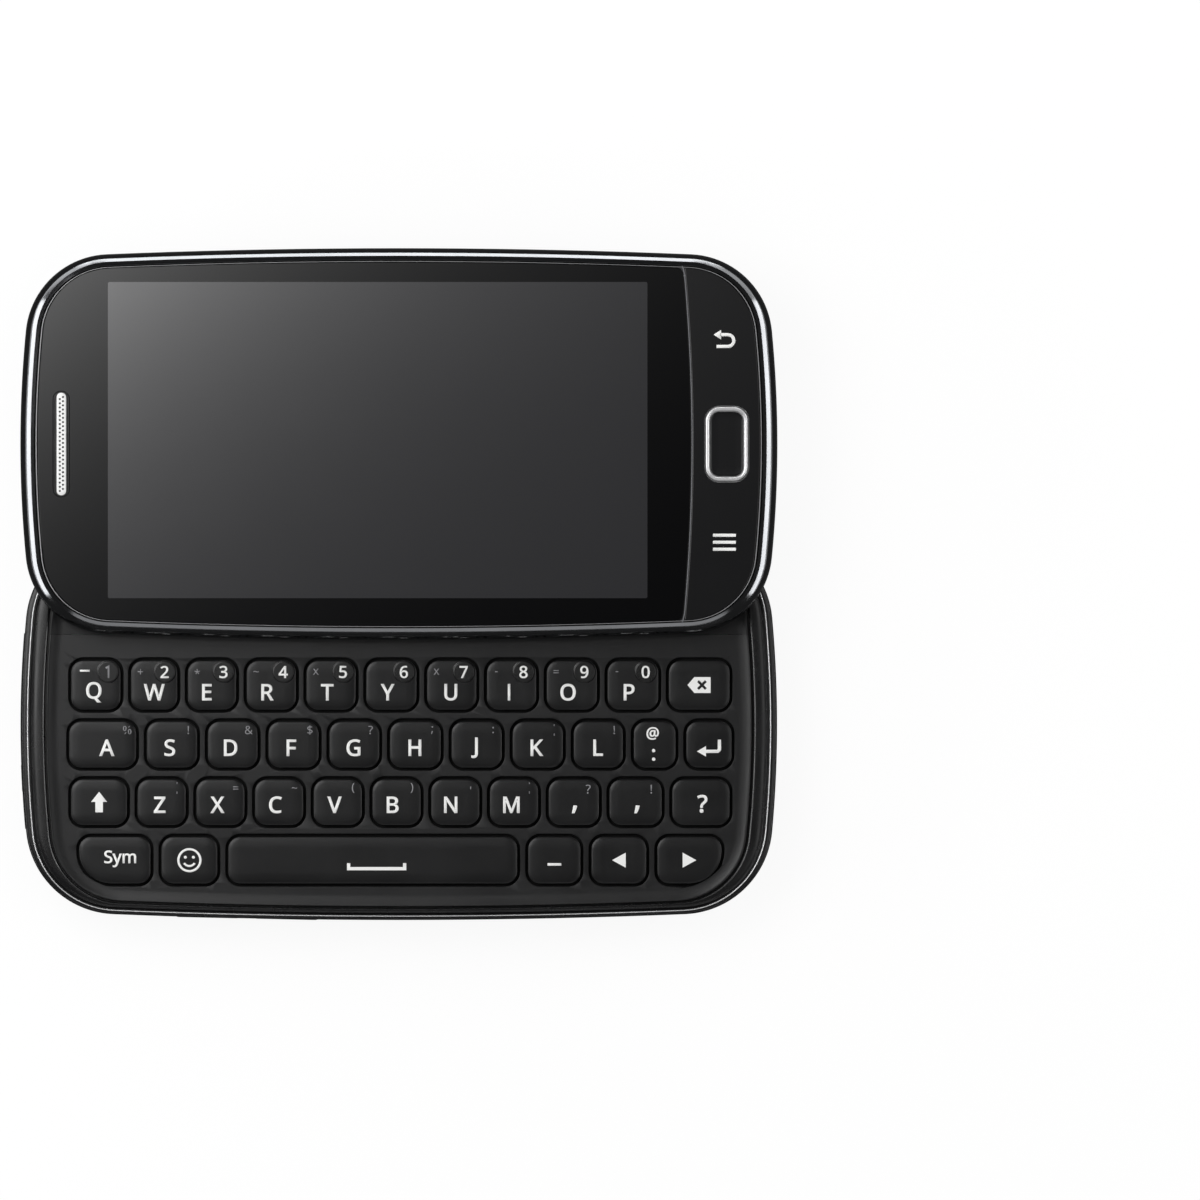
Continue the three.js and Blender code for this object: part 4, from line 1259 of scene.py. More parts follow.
@dataclass
class Bezel:
    """The thin plate round the keys: a dished rim, and a hole with a rolled edge for each key."""

    deck: Plan
    box: Box
    key_slack: float = 0.46  # from the skirt of a key to the edge of its hole
    hole_roll: float = 0.08
    roll_steps: int = 4
    plate_top: float = 8.2
    dish_width: float = 1.9
    dish_steps: int = 7
    lip_width: float = 0.14
    far_edge: float = 13.8
    hairline: float = 0.05
    shoe_x: float = 34.05
    shoe_y: float = 21.5
    shoe_half: float = 3.5
    shoe_neck: float = 1.5
    shoe_head: float = 3.0
    shoe_head_depth: float = 0.5
    shoe_root: float = 0.1

    # Outside of the lip: inset, depth under the plate's highest line
    lip_line = ((0.0, 0.12), (0.04, 0.03))

    def hole(self, key: Key, grow: float) -> Points:
        """The outline of a key's hole, made wider by a distance."""
        return key.outline(-self.key_slack - grow)

    def rim(self) -> MeshBuilder:
        """Starts a plate with its edge, its lip and the dish inside that."""
        top, rise = self.box.top, self.box.top - self.plate_top
        section = [(0.0, self.box.bottom), *((inset, top - depth) for inset, depth in self.lip_line)]
        for step in range(self.dish_steps + 1):
            share = step / self.dish_steps
            inset = self.lip_width + share * (self.dish_width - self.lip_width)
            section.append((inset, top - rise * (1 - (1 - share) ** 2)))
        return MeshBuilder().sweep(self.outline, section, Ends.OPEN)

    def outline(self, inset: float) -> Points:
        """The plate's outline drawn in by a distance."""
        end = self.deck.half_length - self.box.right
        side = self.deck.half_width + self.box.near
        return self.deck.drawn(end + inset, side + inset)

    def part(self, plate: MeshBuilder, name: str, near: bool) -> Object:
        """Keeps the part of a plate on one side of the seam between the bezel and the rail plate.

        Args:
            plate: the whole plate.
            name: the object's name.
            near: whether the near part is kept.

        Returns:
            The new object, closed along the seam.
        """
        piece = plate.object(name)
        seam = (0, (self.far_edge + (0.0 if near else self.hairline)) * MM, 0)
        sides = {"clear_outer": near, "clear_inner": not near}
        with opened(piece.data) as work:
            everything = [*work.verts, *work.edges, *work.faces]
            bmesh.ops.bisect_plane(work, geom=everything, plane_co=seam, plane_no=(0, 1, 0), **sides)
            bmesh.ops.contextual_create(work, geom=[edge for edge in work.edges if edge.is_boundary])
        return piece

    def build_rail_plate(self) -> None:
        """Builds the plate under the display half, with the two T shoes that hold the display on."""
        plate = self.rim()
        plate.pierced(self.outline(self.dish_width), self.outline(0.0), [], self.plate_top, self.box.bottom)
        piece = self.part(plate, "rail_plate", near=False)
        top = Box.of("slide_rail_plate").top
        near, far = self.shoe_y - self.shoe_half, self.shoe_y + self.shoe_half
        neck = (self.shoe_neck, self.box.bottom + self.shoe_root)
        head = (self.shoe_head, top - self.shoe_head_depth)
        shoes = [
            block(x - half, x + half, near, far, low, top)
            for x in (-self.shoe_x, self.shoe_x)
            for half, low in (neck, head)
        ]
        piece = combine(piece, shoes, "UNION")
        finish_piece(piece, "deck", Slot.STEEL, PAINTED_STEEL, ["slide_rail_plate"], crease=40)

    def build(self, keys: Sequence[Key]) -> None:
        """Builds the plate round the keys, and the rail plate that carries its line on.

        Args:
            keys: the keys that pass through it.
        """
        plate = self.rim()
        rolled = [self.hole(key, self.hole_roll) for key in keys]
        plate.sheet(self.outline(self.dish_width), rolled, self.plate_top)
        plate.sheet(self.outline(0.0), [self.hole(key, 0.0) for key in keys], self.box.bottom, up=False)
        roll = quarter_round(self.hole_roll, self.roll_steps)
        wall = [*((grow, self.plate_top - drop) for drop, grow in roll), (0.0, self.box.bottom)]
        for key in keys:
            plate.sweep(partial(self.hole, key), wall, Ends.OPEN)
        piece = self.part(plate, "keypad_bezel_plate", near=True)
        finish_piece(piece, "deck", Slot.BEZEL, BEZEL_PAINT, ["keypad_bezel"], crease=40)
        self.build_rail_plate()


@dataclass
class SideKey:
    """A key let into the edge of the deck: flange inside the wall, rounded face outside."""

    name: str
    node: str
    body: str
    place: tuple[Vector, float]
    middle_z: float
    wall: float
    length: float
    height: float
    proud: float
    dip_length: float = 0.0
    dip_depth: float = 0.25
    roll: float = 0.3
    roll_steps: int = 5
    flange_length: float = 0.8
    flange_thickness: float = 0.6
    fit_gap: float = 0.3
    hole_gap: float = 0.2
    hole_depth: float = 1.0  # past the inside of the wall
    least_radius: float = 0.1

    # Dip in the face: growth of its half length, height over its bottom
    dip_section = ((-0.25, 0.0), (0.0, 0.08), (0.2, 0.35))

    def face(self, inset: float, wider: float = 0.0) -> Points:
        """The key's outline as drawn flat, with its length along X."""
        half_length, half_height = self.length / 2 + wider - inset, self.height / 2 - inset
        radius = max(half_height - self.roll / 2, self.least_radius)
        return rounded_about((0, 0), half_length, half_height, radius, 8)

    def stand(self, shape: MeshBuilder) -> MeshBuilder:
        """Turns a shape drawn flat so that its top faces out of the wall.

        Args:
            shape: the shape, with Z as the way out.

        Returns:
            The same shape.
        """
        shape.points = [(x, z, -y) for x, y, z in shape.points]
        point, turn = self.place
        shape.place(turn, Vector((point.x, point.y, self.middle_z)))
        return shape

    def hole(self) -> MeshBuilder:
        """The hole that the wall needs for the key."""
        return self.stand(prism(self.face(-self.hole_gap), -self.wall - self.hole_depth, OVERRUN))

    def build(self) -> None:
        """Builds the key."""
        outer = -self.wall - self.fit_gap
        section = [(0.0, self.flange_length, outer - self.flange_thickness)]
        section += [(0.0, self.flange_length, outer), (0.0, 0.0, outer)]
        roll = quarter_round(self.roll, self.roll_steps)
        section += [(inset, 0.0, self.proud - drop) for inset, drop in roll]
        piece = self.stand(MeshBuilder().sweep(self.face, section)).object(self.name)
        if self.dip_length:
            tall, low = self.height, self.proud - self.dip_depth
            dip = MeshBuilder().sweep(
                lambda half: plain_rectangle(-half, half, -tall, tall),
                [(self.dip_length / 2 + grow, low + rise) for grow, rise in self.dip_section],
            )
            combine(piece, [self.stand(dip)], "DIFFERENCE")
        finish_piece(piece, self.body, Slot.HOUSING, GLOSS_ABS, [self.node], crease=40)


@dataclass
class Deck:
    """The keyboard half: moulded housing, cover, side keys, port door, camera and what they hold."""

    housing: Box
    cover: Box
    corner_radius: float = 14
    seam_gap: float = 0.2
    fit_gap: float = 0.3
    cover_wall: float = 1.0
    cover_inset: float = 3.9
    cover_curve: float = 4.4
    cover_power: float = 2.2  # its edge lies midway between a quarter circle and this power
    floor_wall: float = 0.8
    ledge_width: float = 1.1
    plate_end: float = 3.9
    plate_side: float = 2.1
    opening: tuple[float, float] = (3.6, 1.85)  # insets of the opening over the ledge
    cap_proud: float = 0.15
    cap_edge: float = 0.14
    cap_slant: float = 1.6
    cap_depth: float = 2.5
    cap_below: float = 17.0
    key_clearance: float = 0.3  # between the flange of a key and the edge of the keypad
    jack_radius: float = 2.1
    jack_bore: float = 1.75
    scoop_length: float = 12.6
    scoop_inner_length: float = 7.6
    scoop_depth: float = 2.8
    scoop_rounding: float = 1.7
    scoop_run: float = 3.0  # how far it runs out past the cover's edge
    tongue_root: float = 0.5  # how far the tongue runs into the wall
    tongue_rise: float = 0.7
    tongue_top: float = 0.4
    nail_slot_length: float = 7.0
    nail_slot_depth: float = 0.9
    nail_slot_height: float = 4.0
    port_length: float = 13.8
    port_height: float = 3.0
    port_depth: float = 1.9
    port_place: float = 29.35  # from the left end
    door_edge: float = 0.12
    socket_length: float = 7.5
    socket_height: float = 2.5
    ring_size: float = 9.5
    ring_width: float = 1.0
    ring_radius: float = 3.3
    surround: float = 0.8
    surround_depth: float = 0.25
    ring_inside: float = 0.4  # between the camera ring and its window
    window_depth: float = 0.6
    rocker_x: float = -23.4
    shutter_x: float = 22.5
    power_y: float = -8.25
    rocker_size: tuple[float, float, float] = (21.8, 2.6, 0.04)  # length, height, stand-out
    rocker_dip: float = 2.7
    shutter_size: tuple[float, float, float] = (9.8, 2.6, 0.6)
    power_size: tuple[float, float, float] = (4.5, 1.9, 0.18)
    battery_corner: float = 2.0
    battery_rounding: float = 0.7
    contact_count: int = 4
    contact_pitch: float = 3.2
    contact_half: float = 0.9
    contact_faces: tuple[float, float] = (-0.12, 0.1)  # from the battery's left face
    contact_levels: tuple[float, float] = (1.1, 2.25)  # over the battery's foot

    # Outside of the wall: end inset, side inset, share of its rise, reach of the rounding
    wall_line = (
        (3.7, 3.7, 0.0, 0.1),
        (2.52, 2.52, 0.13, 0.5),
        (1.3, 1.3, 0.3, 0.12),
        (0.93, 0.93, 0.34, 0.12),
        (0.37, 0.37, 0.5, 0.6),
        (0.07, 0.07, 0.66, 0.6),
        (0.0, 0.0, 0.84, 0.4),
        (0.03, 0.02, 0.92, 0.15),
        (0.2, 0.12, 0.97, 0.12),
        (0.6, 0.35, 0.985, 0.15),
        (0.96, 0.56, 0.985, 0.0),
    )
    # Top of the wall from its crest to the opening: the same insets, depth under the crest, reach
    rim_line = (
        (1.08, 0.68, 0.06, 0.0),
        (1.14, 0.74, 0.5, 0.03),
        (1.34, 0.9, 0.46, 0.05),
        (1.9, 1.22, 0.1, 0.46),
        (2.8, 1.48, 0.02, 0.3),
        (3.3, 1.62, 0.02, 0.04),
        (3.48, 1.76, 0.16, 0.03),
        (3.58, 1.84, 0.34, 0.0),
    )
    # Pale line let into the crest, a painted highlight of the rim's edge: the same insets and depths
    crest_line = (
        (0.94, 0.54, 0.3),
        (0.94, 0.54, 0.05),
        (0.98, 0.58, 0.01),
        (1.02, 0.62, 0.0),
        (1.06, 0.66, 0.01),
        (1.1, 0.7, 0.05),
        (1.1, 0.7, 0.3),
    )
    # Lens in its window: radius, height
    lens_section = ((2.05, 0.6), (1.95, 0.72), (1.7, 0.74), (1.62, 1.0), (1.3, 0.86))
    lens_section += ((0.7, 0.76), (0.3, 0.74))

    def __post_init__(self) -> None:
        """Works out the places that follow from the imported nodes."""
        self.plan = Plan(self.housing.right, self.housing.far, self.corner_radius)
        self.cover_drop = self.cover.top - self.cover_wall
        self.top = self.housing.top
        bezel = Box.of("keypad_bezel")
        self.ledge = bezel.bottom - self.seam_gap
        self.floor = self.cover_wall + self.fit_gap
        self.floor_edge = self.cover.top + self.fit_gap + self.floor_wall
        self.key_z = (self.floor_edge + self.ledge) / 2
        self.jack_z = (self.floor + self.floor_wall + bezel.bottom) / 2
        self.jack_y = Box.of("key_q").far - self.key_clearance + self.fit_gap + self.jack_radius
        self.camera = Box.of("camera_trim_ring").middle
        self.port = self.plan.long_side(self.port_place - self.plan.half_length, Side.FAR)
        self.wall_end = self.plate_end - self.seam_gap + self.ledge_width
        self.wall_side = self.plate_side - self.seam_gap + self.ledge_width

    def wall(self, proud: float = 0.0) -> list[tuple[float, float, float]]:
        """Outside of the wall as insets and heights, from the cover's seam up to the rim's crest."""
        low, rise = self.cover_drop, self.top - self.cover_drop
        return soften([(e - proud, s - proud, low + z * rise, reach) for e, s, z, reach in self.wall_line])

    def shell(self, proud: float = 0.0) -> MeshBuilder:
        """The solid within the wall."""
        return MeshBuilder().sweep(self.plan.drawn, self.wall(proud))

    def square(self, size: float) -> Points:
        """A rounded square round the camera, nested in the trim ring's outline."""
        radius = max(self.ring_radius - (self.ring_size - size) / 2, self.fit_gap)
        return rounded_about(self.camera, size / 2, size / 2, radius, 8)

    def battery_outline(self, margin: float) -> Points:
        """The battery's outline, grown by a margin."""
        return Box.of("battery").outline(margin, self.battery_corner + margin, 6)

    def cap_region(self, margin: float) -> MeshBuilder:
        """The strip of the left end that the end cap fills, with slanted ends."""
        near = -self.cap_below - margin
        far = self.jack_y + self.jack_radius + self.fit_gap + margin
        outer = -self.plan.half_length - OVERRUN
        inner = self.cap_depth - self.plan.half_length + margin
        slanted = ((outer, near), (inner, near + self.cap_slant), (inner, far - self.cap_slant), (outer, far))
        box = Box.of("top_end_cap")
        return prism([Vector(p) for p in slanted], box.bottom - margin, box.top + margin)

    def jack(self) -> MeshBuilder:
        """The bore of the headphone jack, along X."""
        bore = prism(circle(Vector((0, 0)), self.jack_bore, 32), -OVERRUN, self.wall_end + OVERRUN)
        bore.points = [
            (z - self.plan.half_length, self.jack_y + x, self.jack_z + y) for x, y, z in bore.points
        ]
        return bore

    def port_block(self, length: float, height: float, inner: float) -> MeshBuilder:
        """A block across the wall at the charging port.

        Args:
            length: its length along the wall.
            height: its height.
            inner: how far it reaches into the deck.

        Returns:
            The closed shape.
        """
        half = height / 2
        shape = block(-length / 2, length / 2, -inner, OVERRUN, self.key_z - half, self.key_z + half)
        point, turn = self.port
        shape.place(turn, Vector((point.x, point.y, 0)))
        return shape

    def scoop(self, margin: float) -> MeshBuilder:
        """The scoop of the cover's edge where a tongue of the housing shows, widened by a margin."""
        edge = self.plan.half_length - self.cover_inset
        slope = (self.scoop_length - self.scoop_inner_length) / (2 * self.scoop_depth)
        sides = []
        for x in (edge + self.scoop_run, edge - self.scoop_depth - margin):
            sides.append((x, self.scoop_length / 2 + slope * (x - edge) + margin * math.hypot(1, slope)))
        (outer, wide), (inner, narrow) = sides
        rounding = self.scoop_rounding
        line = [(outer, -wide, 0), (outer, wide, 0), (inner, narrow, rounding), (inner, -narrow, rounding)]
        outline = soften([*line, line[0]], 8)[:-1]
        return prism([Vector(point) for point in outline], -OVERRUN, self.cover.top + OVERRUN)

    def tongue(self) -> MeshBuilder:
        """The form that the tongue is cut from, flush with the cover and rooted in the wall."""
        seam = self.cover_inset - self.seam_gap
        root = seam - self.tongue_root
        line = [(self.cover_inset + inset, z) for inset, z in reversed(self.under_curve())]
        line += [(seam, self.cover_drop), (root, self.cover_drop + self.tongue_rise)]
        line += [(root, self.cover.top + self.tongue_top)]
        return MeshBuilder().sweep(self.plan.drawn, line)

    def nail_slot(self) -> MeshBuilder:
        """The slot in the wall where a fingernail lifts the cover."""
        outer, half = self.plan.half_length, self.nail_slot_length / 2
        low, high = self.cover_drop - OVERRUN, self.cover_drop + self.nail_slot_height
        return block(outer - self.nail_slot_depth, outer + OVERRUN, -half, half, low, high)

    def under_curve(self, steps: int = 10) -> list[tuple[float, float]]:
        """The cover's curved edge, as inset from its rim and height, from the rim down."""
        line = []
        for step in range(steps + 1):
            left = 1 - step / steps
            drop = 0.5 * ((1 - math.sqrt(1 - left**2)) + left**self.cover_power)
            line.append(((1 - left) * self.cover_curve, drop * self.cover_drop))
        return line

    def side_keys(self) -> list[SideKey]:
        """The rocker, the shutter key and the power key."""
        rocker = (self.plan.long_side(self.rocker_x, Side.NEAR), self.key_z, self.wall_side)
        shutter = (self.plan.long_side(self.shutter_x, Side.FAR), self.key_z, self.wall_side)
        power = (self.plan.left_end(self.power_y), self.key_z, self.wall_end)
        return [
            SideKey("rocker_cap", "volume_rocker", "rocker", *rocker, *self.rocker_size, self.rocker_dip),
            SideKey("shutter_cap", "shutter_button", "shutter_key", *shutter, *self.shutter_size),
            SideKey("power_cap", "power_button", "power_key", *power, *self.power_size),
        ]

    def build_housing(self, keys: Sequence[SideKey]) -> None:
        """Builds the moulded wall and floor with all their holes.

        Args:
            keys: the side keys that pass through the wall.
        """
        skin = self.cover_inset + self.cover_wall
        under = [(skin + out, self.floor + rise) for out, rise in self.under_curve(6)]
        seam = (self.cover_inset - self.seam_gap, self.cover.top + self.fit_gap)
        line = [*reversed(under), seam, *self.wall()]
        line += soften([(end, side, self.top - depth, reach) for end, side, depth, reach in self.rim_line])
        line += [
            (*self.opening, self.ledge),
            (self.wall_end, self.wall_side, self.ledge),
            (self.wall_end, self.wall_side, self.floor_edge),
            (skin + self.cover_curve, self.floor + self.floor_wall),
        ]
        shape = MeshBuilder().sweep(self.plan.drawn, line)
        board, gap = Box.of("main_board").bottom, 2 * self.seam_gap
        tools = [
            prism(self.battery_outline(self.fit_gap), 0, Box.of("battery").top + self.fit_gap),
            prism(self.square(Box.of("camera_module").size.x + 2 * self.fit_gap), 0, board),
            self.port_block(self.port_length + gap, self.port_height + gap, self.port_depth + self.seam_gap),
            self.port_block(self.socket_length + gap, self.socket_height + gap, self.wall_side + OVERRUN),
            self.cap_region(self.seam_gap),
            self.jack(),
            self.nail_slot(),
            *[key.hole() for key in keys],
        ]
        tongue = combine(self.tongue().object("tongue"), [self.scoop(-self.seam_gap)], "INTERSECT")
        piece = combine(shape.object("moulded_housing"), [tongue], "UNION")
        piece = combine(piece, tools, "DIFFERENCE")
        finish_piece(piece, "deck", Slot.HOUSING, SATIN_ABS, ["lower_housing"], crease=30)
        # The pale crest line is a painted highlight along the rim's edge
        line = [(end, side, self.top - depth) for end, side, depth in self.crest_line]
        crest = MeshBuilder().sweep(self.plan.drawn, line, Ends.JOINED)
        finish_piece(crest.object("crest_highlight_trim"), "deck", Slot.BRIGHT_METAL, NICKEL_AND_PAINTED_HIGHLIGHT, crease=60)

    def build_cover(self) -> None:
        """Builds the textured cover with its smooth surround for the camera."""
        outside = [(self.cover_inset + inset, z) for inset, z in self.under_curve(14)]
        inside = [(inset + self.cover_wall, z + self.cover_wall) for inset, z in outside]
        rim = (self.cover_inset, self.cover_drop + self.cover_wall)
        shape = MeshBuilder().sweep(self.plan.drawn, [*reversed(outside), rim, *inside])
        tools = [
            prism(self.square(self.ring_size + 2 * self.seam_gap), -OVERRUN, self.cover_wall + OVERRUN),
            prism(self.square(self.ring_size + 2 * self.surround), -OVERRUN, self.surround_depth),
            self.scoop(0),
        ]
        piece = combine(shape.object("textured_cover"), tools, "DIFFERENCE")
        finish_piece(piece, "cover", Slot.COVER, TWILL_COVER, ["battery_cover"], crease=30)

    def build_edge_trim(self, keys: Sequence[SideKey]) -> None:
        """Builds the end cap and the port door, each cut from the wall itself.

        Args:
            keys: the side keys, of which the last passes through the end cap.
        """
        cap = combine(self.shell(self.cap_proud).object("end_cap"), [self.cap_region(0)], "INTERSECT")
        cap = combine(cap, [keys[-1].hole(), self.jack()], "DIFFERENCE")
        self.round_edges(cap, self.cap_edge)
        finish_piece(cap, "deck", Slot.HOUSING, GLOSS_ABS, ["top_end_cap"], crease=30)
        region = self.port_block(self.port_length, self.port_height, self.port_depth)
        door = combine(self.shell().object("port_door_leaf"), [region], "INTERSECT")
        self.round_edges(door, self.door_edge)
        finish_piece(door, "port_door", Slot.HOUSING, SATIN_ABS, ["usb_port_door"], crease=30)

    @staticmethod
    def round_edges(piece: Object, radius: float) -> None:
        """Rounds the sharp edges of a piece by a small radius."""
        rounding = piece.modifiers.new("edge_radius", "BEVEL")
        rounding.width, rounding.segments, rounding.limit_method = radius * MM, 2, "ANGLE"
        rounding.angle_limit = math.radians(35)

    def build_camera(self) -> None:
        """Builds the bright trim ring, the black window and the lens behind it."""
        inner, outer = self.ring_size - 2 * self.ring_width, self.ring_size
        ring_top = self.floor - self.seam_gap
        section = [
            (inner, ring_top, 0),
            (inner, 0.55, 0.2),
            (inner + 0.5, 0.26, 0.2),
            (inner + self.ring_width, 0.2, 0.3),
            (outer - 0.4, 0.26, 0.2),
            (outer, 0.5, 0.2),
            (outer, ring_top, 0),
        ]
        ring = MeshBuilder().sweep(self.square, soften(section), Ends.JOINED).object("camera_ring")
        finish_piece(ring, "deck", Slot.BRIGHT_METAL, BRIGHT_NICKEL, ["camera_trim_ring"])
        module = Box.of("camera_module")
        window, size, depth = inner - self.ring_inside, module.size.x, self.window_depth

        def lens(radius: float) -> Points:
            """A circle round the lens."""
            return circle(self.camera, radius, 48)

        glass = MeshBuilder()
        glass.sheet(self.square(window), [lens(self.lens_section[0][0])], depth, up=False)
        glass.sweep(lens, self.lens_section, Ends.LAST)
        body = ((window, depth), (window, self.floor), (size, self.floor), (size, module.top))
        piece = glass.sweep(self.square, body, Ends.LAST).object("camera_window")
        finish_piece(piece, "deck", Slot.CAMERA_GLASS, LENS_GLASS, ["camera_module"], crease=20)

    def build_battery(self) -> None:
        """Builds the wrapped battery and its contacts."""
        box, inside, rounding = Box.of("battery"), -self.battery_corner, self.battery_rounding
        section = [(inside, box.bottom, 0), (0, box.bottom, rounding)]
        section += [(0, box.top, rounding), (inside, box.top, 0)]
        pack = MeshBuilder().sweep(self.battery_outline, soften(section)).object("battery_pack")
        finish_piece(pack, "deck", Slot.BATTERY, BATTERY_WRAP, ["battery"])
        left, right = (box.left + face for face in self.contact_faces)
        low, high = (box.bottom + level for level in self.contact_levels)
        for number in range(self.contact_count):
            y = box.middle.y + (number - (self.contact_count - 1) / 2) * self.contact_pitch
            edge = rounded_rectangle(left, right, y - self.contact_half, y + self.contact_half, 0.05, 2)
            contact = prism(edge, low, high).object(f"contact_{number}")
            finish_piece(contact, "deck", Slot.BRIGHT_METAL, GOLD_CONTACT)

    def build(self) -> None:
        """Builds the whole keyboard half but for the keys and their bezel."""
        keys = self.side_keys()
        self.build_housing(keys)
        self.build_cover()
        self.build_edge_trim(keys)
        for key in keys:
            key.build()
        self.build_camera()
        self.build_battery()
        dress_node("main_board", BOARD_LACQUER)
        dress_node("keypad_mat", SILICONE_RUBBER)


@dataclass
class DisplayHalf:
    """The screen half: dark chrome ring, cover glass, side panel, earpiece and home key."""

    box: Box
    corner_radius: float = 13
    frame_wall: float = 3.2
    seam_gap: float = 0.2
    glass_end: float = 2.68
    glass_side: float = 2.12
    glass_edge: float = 0.13
    glass_corner: float = 1.3
    panel_corner: float = 0.35
    ring_gap_end: float = 0.42
    gasket_depth: float = 0.3
    gasket_slack: float = 0.02
    # Insets of the pale band round the glass that paints the highlight of its polished edge
    hairline: tuple[float, float] = (0.12, 0.25)  # at the ends, outward from the glass
    side_hairline: tuple[float, float] = (0.02, 0.08)
    divider_inset: float = 13.1
    divider_radius: float = 293
    divider_steps: int = 16
    strip_width: float = 0.17
    strip_depth: float = 0.8
    strip_reach: float = 26.0
    strip_steps: int = 24
    strip_bend: float = 0.6
    strip_hook: tuple[float, float] = (0.95, 1.85)
    print_lift: float = 0.008
    window: tuple[float, float, float, float] = (-44.55, 38.1, -23.62, 24.82)
    window_corner: float = 0.25
    sign_x: float = 49.9
    back_y: float = 16.0
    back_width: float = 0.48
    menu_y: float = -15.05
    menu_pitch: float = 1.07
    menu_half: tuple[float, float] = (1.76, 0.23)
    mesh_rows: int = 46
    mesh_pitch: float = 0.32
    mesh_hole: float = 0.17
    bar_half: tuple[float, float] = (0.74, 7.9)
    bar_x: float = 0.02  # from the middle of its slot
    bar_thickness: float = 0.28
    bar_depth: float = 0.06
    well_foot: float = 0.1
    home_half: tuple[float, float] = (3.26, 5.7)
    home_radius: float = 2.15
    home_gap: float = 0.3  # between the glass and the flange under it
    home_flange: tuple[float, float] = (0.8, 0.8)  # width and thickness
    home_stem: float = 1.5
    home_cap_foot: float = 0.7
    body: str = "display_half"

    # Section of the ring's outside: end inset, side inset, height over its foot, reach of rounding
    ring_line = (
        (0.84, 0.84, 0.0, 0.1),
        (0.23, 0.23, 0.5, 0.3),
        (0.0, 0.0, 1.7, 0.5),
        (0.0, 0.0, 3.3, 0.5),
        (0.28, 0.25, 4.35, 0.4),
        (0.9, 0.62, 5.04, 0.3),
        (1.69, 1.24, 5.57, 0.08),
        (2.18, 1.8, 5.8, 0.0),
    )
    # Polished edge of the glass: inset, depth under its face
    polish = ((0.0, 0.14), (0.03, 0.06), (0.07, 0.016))
    # Well of the earpiece: growth of its outline, depth under the glass
    well_line = ((-0.1, 0.04), (-0.14, 0.0), (-0.22, 0.0), (-0.3, 0.1), (-0.38, 0.34))
    # Edge of its bar: inset, depth under the bar's face
    bar_line = ((0.0, 0.28), (0.0, 0.12), (0.04, 0.03), (0.12, 0.0))
    # Home key's ring and cap: growth of the outline, depth under the crest, reach of rounding
    home_ring_line = ((-0.02, 0.2, 0.2), (-0.22, 0.0, 0.2), (-0.5, 0.04, 0.2))
    home_ring_line += ((-0.66, 0.3, 0.1), (-0.9, 0.5, 0.0))
    home_cap_line = ((-0.76, 0.24, 0.05), (-0.86, 0.14, 0.05), (-1.0, 0.17, 0.05), (-2.0, 0.19, 0.0))

    def __post_init__(self) -> None:
        """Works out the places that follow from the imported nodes."""
        self.plan = Plan(self.box.right, self.box.size.y / 2, self.corner_radius)
        self.shift = Vector((0, self.box.middle.y, 0))
        glass = Box.of("screen_glass")
        self.glass_bottom, self.glass_top = glass.bottom, glass.top
        self.lcd_top = Box.of("lcd_module").top

    def add(
        self,
        shape: MeshBuilder,
        name: str,
        slot: Slot,
        finish: Finish,
        replaces: Sequence[str] = (),
        body: str | None = None,
    ) -> Object:
        """Moves a shape drawn round the half's own middle to its place and finishes it.

        Args:
            shape: the shape.
            name: the object's name.
            slot: its material slot.
            finish: its finish.
            replaces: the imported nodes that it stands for.
            body: the body that carries it, if not the display half.

        Returns:
            The new object.
        """
        shape.place(0, self.shift)
        crease = 10 if slot in (Slot.GLASS, Slot.PANEL) else 32
        return finish_piece(shape.object(name), body or self.body, slot, finish, replaces, crease)

    def divider(self, y: float, margin: float = 0.0) -> float:
        """X of the parting line between the glass and the panel at a height in plan."""
        centre = self.plan.half_length - self.divider_inset + margin - self.divider_radius
        return centre + math.sqrt(self.divider_radius**2 - y**2)

    def split(self, left: bool) -> Points:
        """Gives the outline of the glass or of the side panel.

        Args:
            left: whether it is the glass, to the left of the parting line.

        Returns:
            The outline, anticlockwise.
        """
        outline = self.plan.drawn(self.glass_end, self.glass_side)
        margin = -self.seam_gap / 2 if left else self.seam_gap / 2
        kept = [p for p in outline if (p.x < self.divider(p.y, margin)) == left]
        if not left:
            half = len([p for p in kept if p.y >= 0])
            kept = kept[half:] + kept[:half]
        top, bottom = (kept[0], kept[-1]) if left else (kept[-1], kept[0])
        shares = [(top.y - bottom.y) * step / self.divider_steps for step in range(self.divider_steps + 1)]
        line = [Vector((self.divider(bottom.y + share, margin), bottom.y + share)) for share in shares]
        line[0].y, line[-1].y = -self.edge_y(line[0].x), self.edge_y(line[-1].x)
        run = line if left else line[::-1]
        radius = self.glass_corner if left else self.panel_corner
        path = [(*p, 0.0) for p in kept]
        path += [(*run[0], radius), *[(*p, 0.0) for p in run[1:-1]], (*run[-1], radius)]
        path.append(path[0])
        return [Vector(p) for p in soften(path, 6)][:-1]

    def edge_y(self, x: float) -> float:
        """Half width of the glass at a place along it."""
        radius = self.plan.long_radius - self.glass_side
        return self.plan.half_width - self.glass_side - radius + math.sqrt(radius**2 - x**2)

    def plate(self, outline: Points, holes: Sequence[Points]) -> MeshBuilder:
        """Builds a sheet of glass with a polished edge.

        Args:
            outline: its outline.
            holes: the holes through it.

        Returns:
            The shape.
        """
        shape = MeshBuilder()
        face = drawn_in(outline, self.glass_edge)
        edge = [(0.0, self.glass_bottom), *((inset, self.glass_top - drop) for inset, drop in self.polish)]
        shape.sweep(partial(drawn_in, outline), [*edge, (self.glass_edge, self.glass_top)], Ends.OPEN)
        shape.pierced(face, outline, holes, self.glass_top, self.glass_bottom)
        return shape

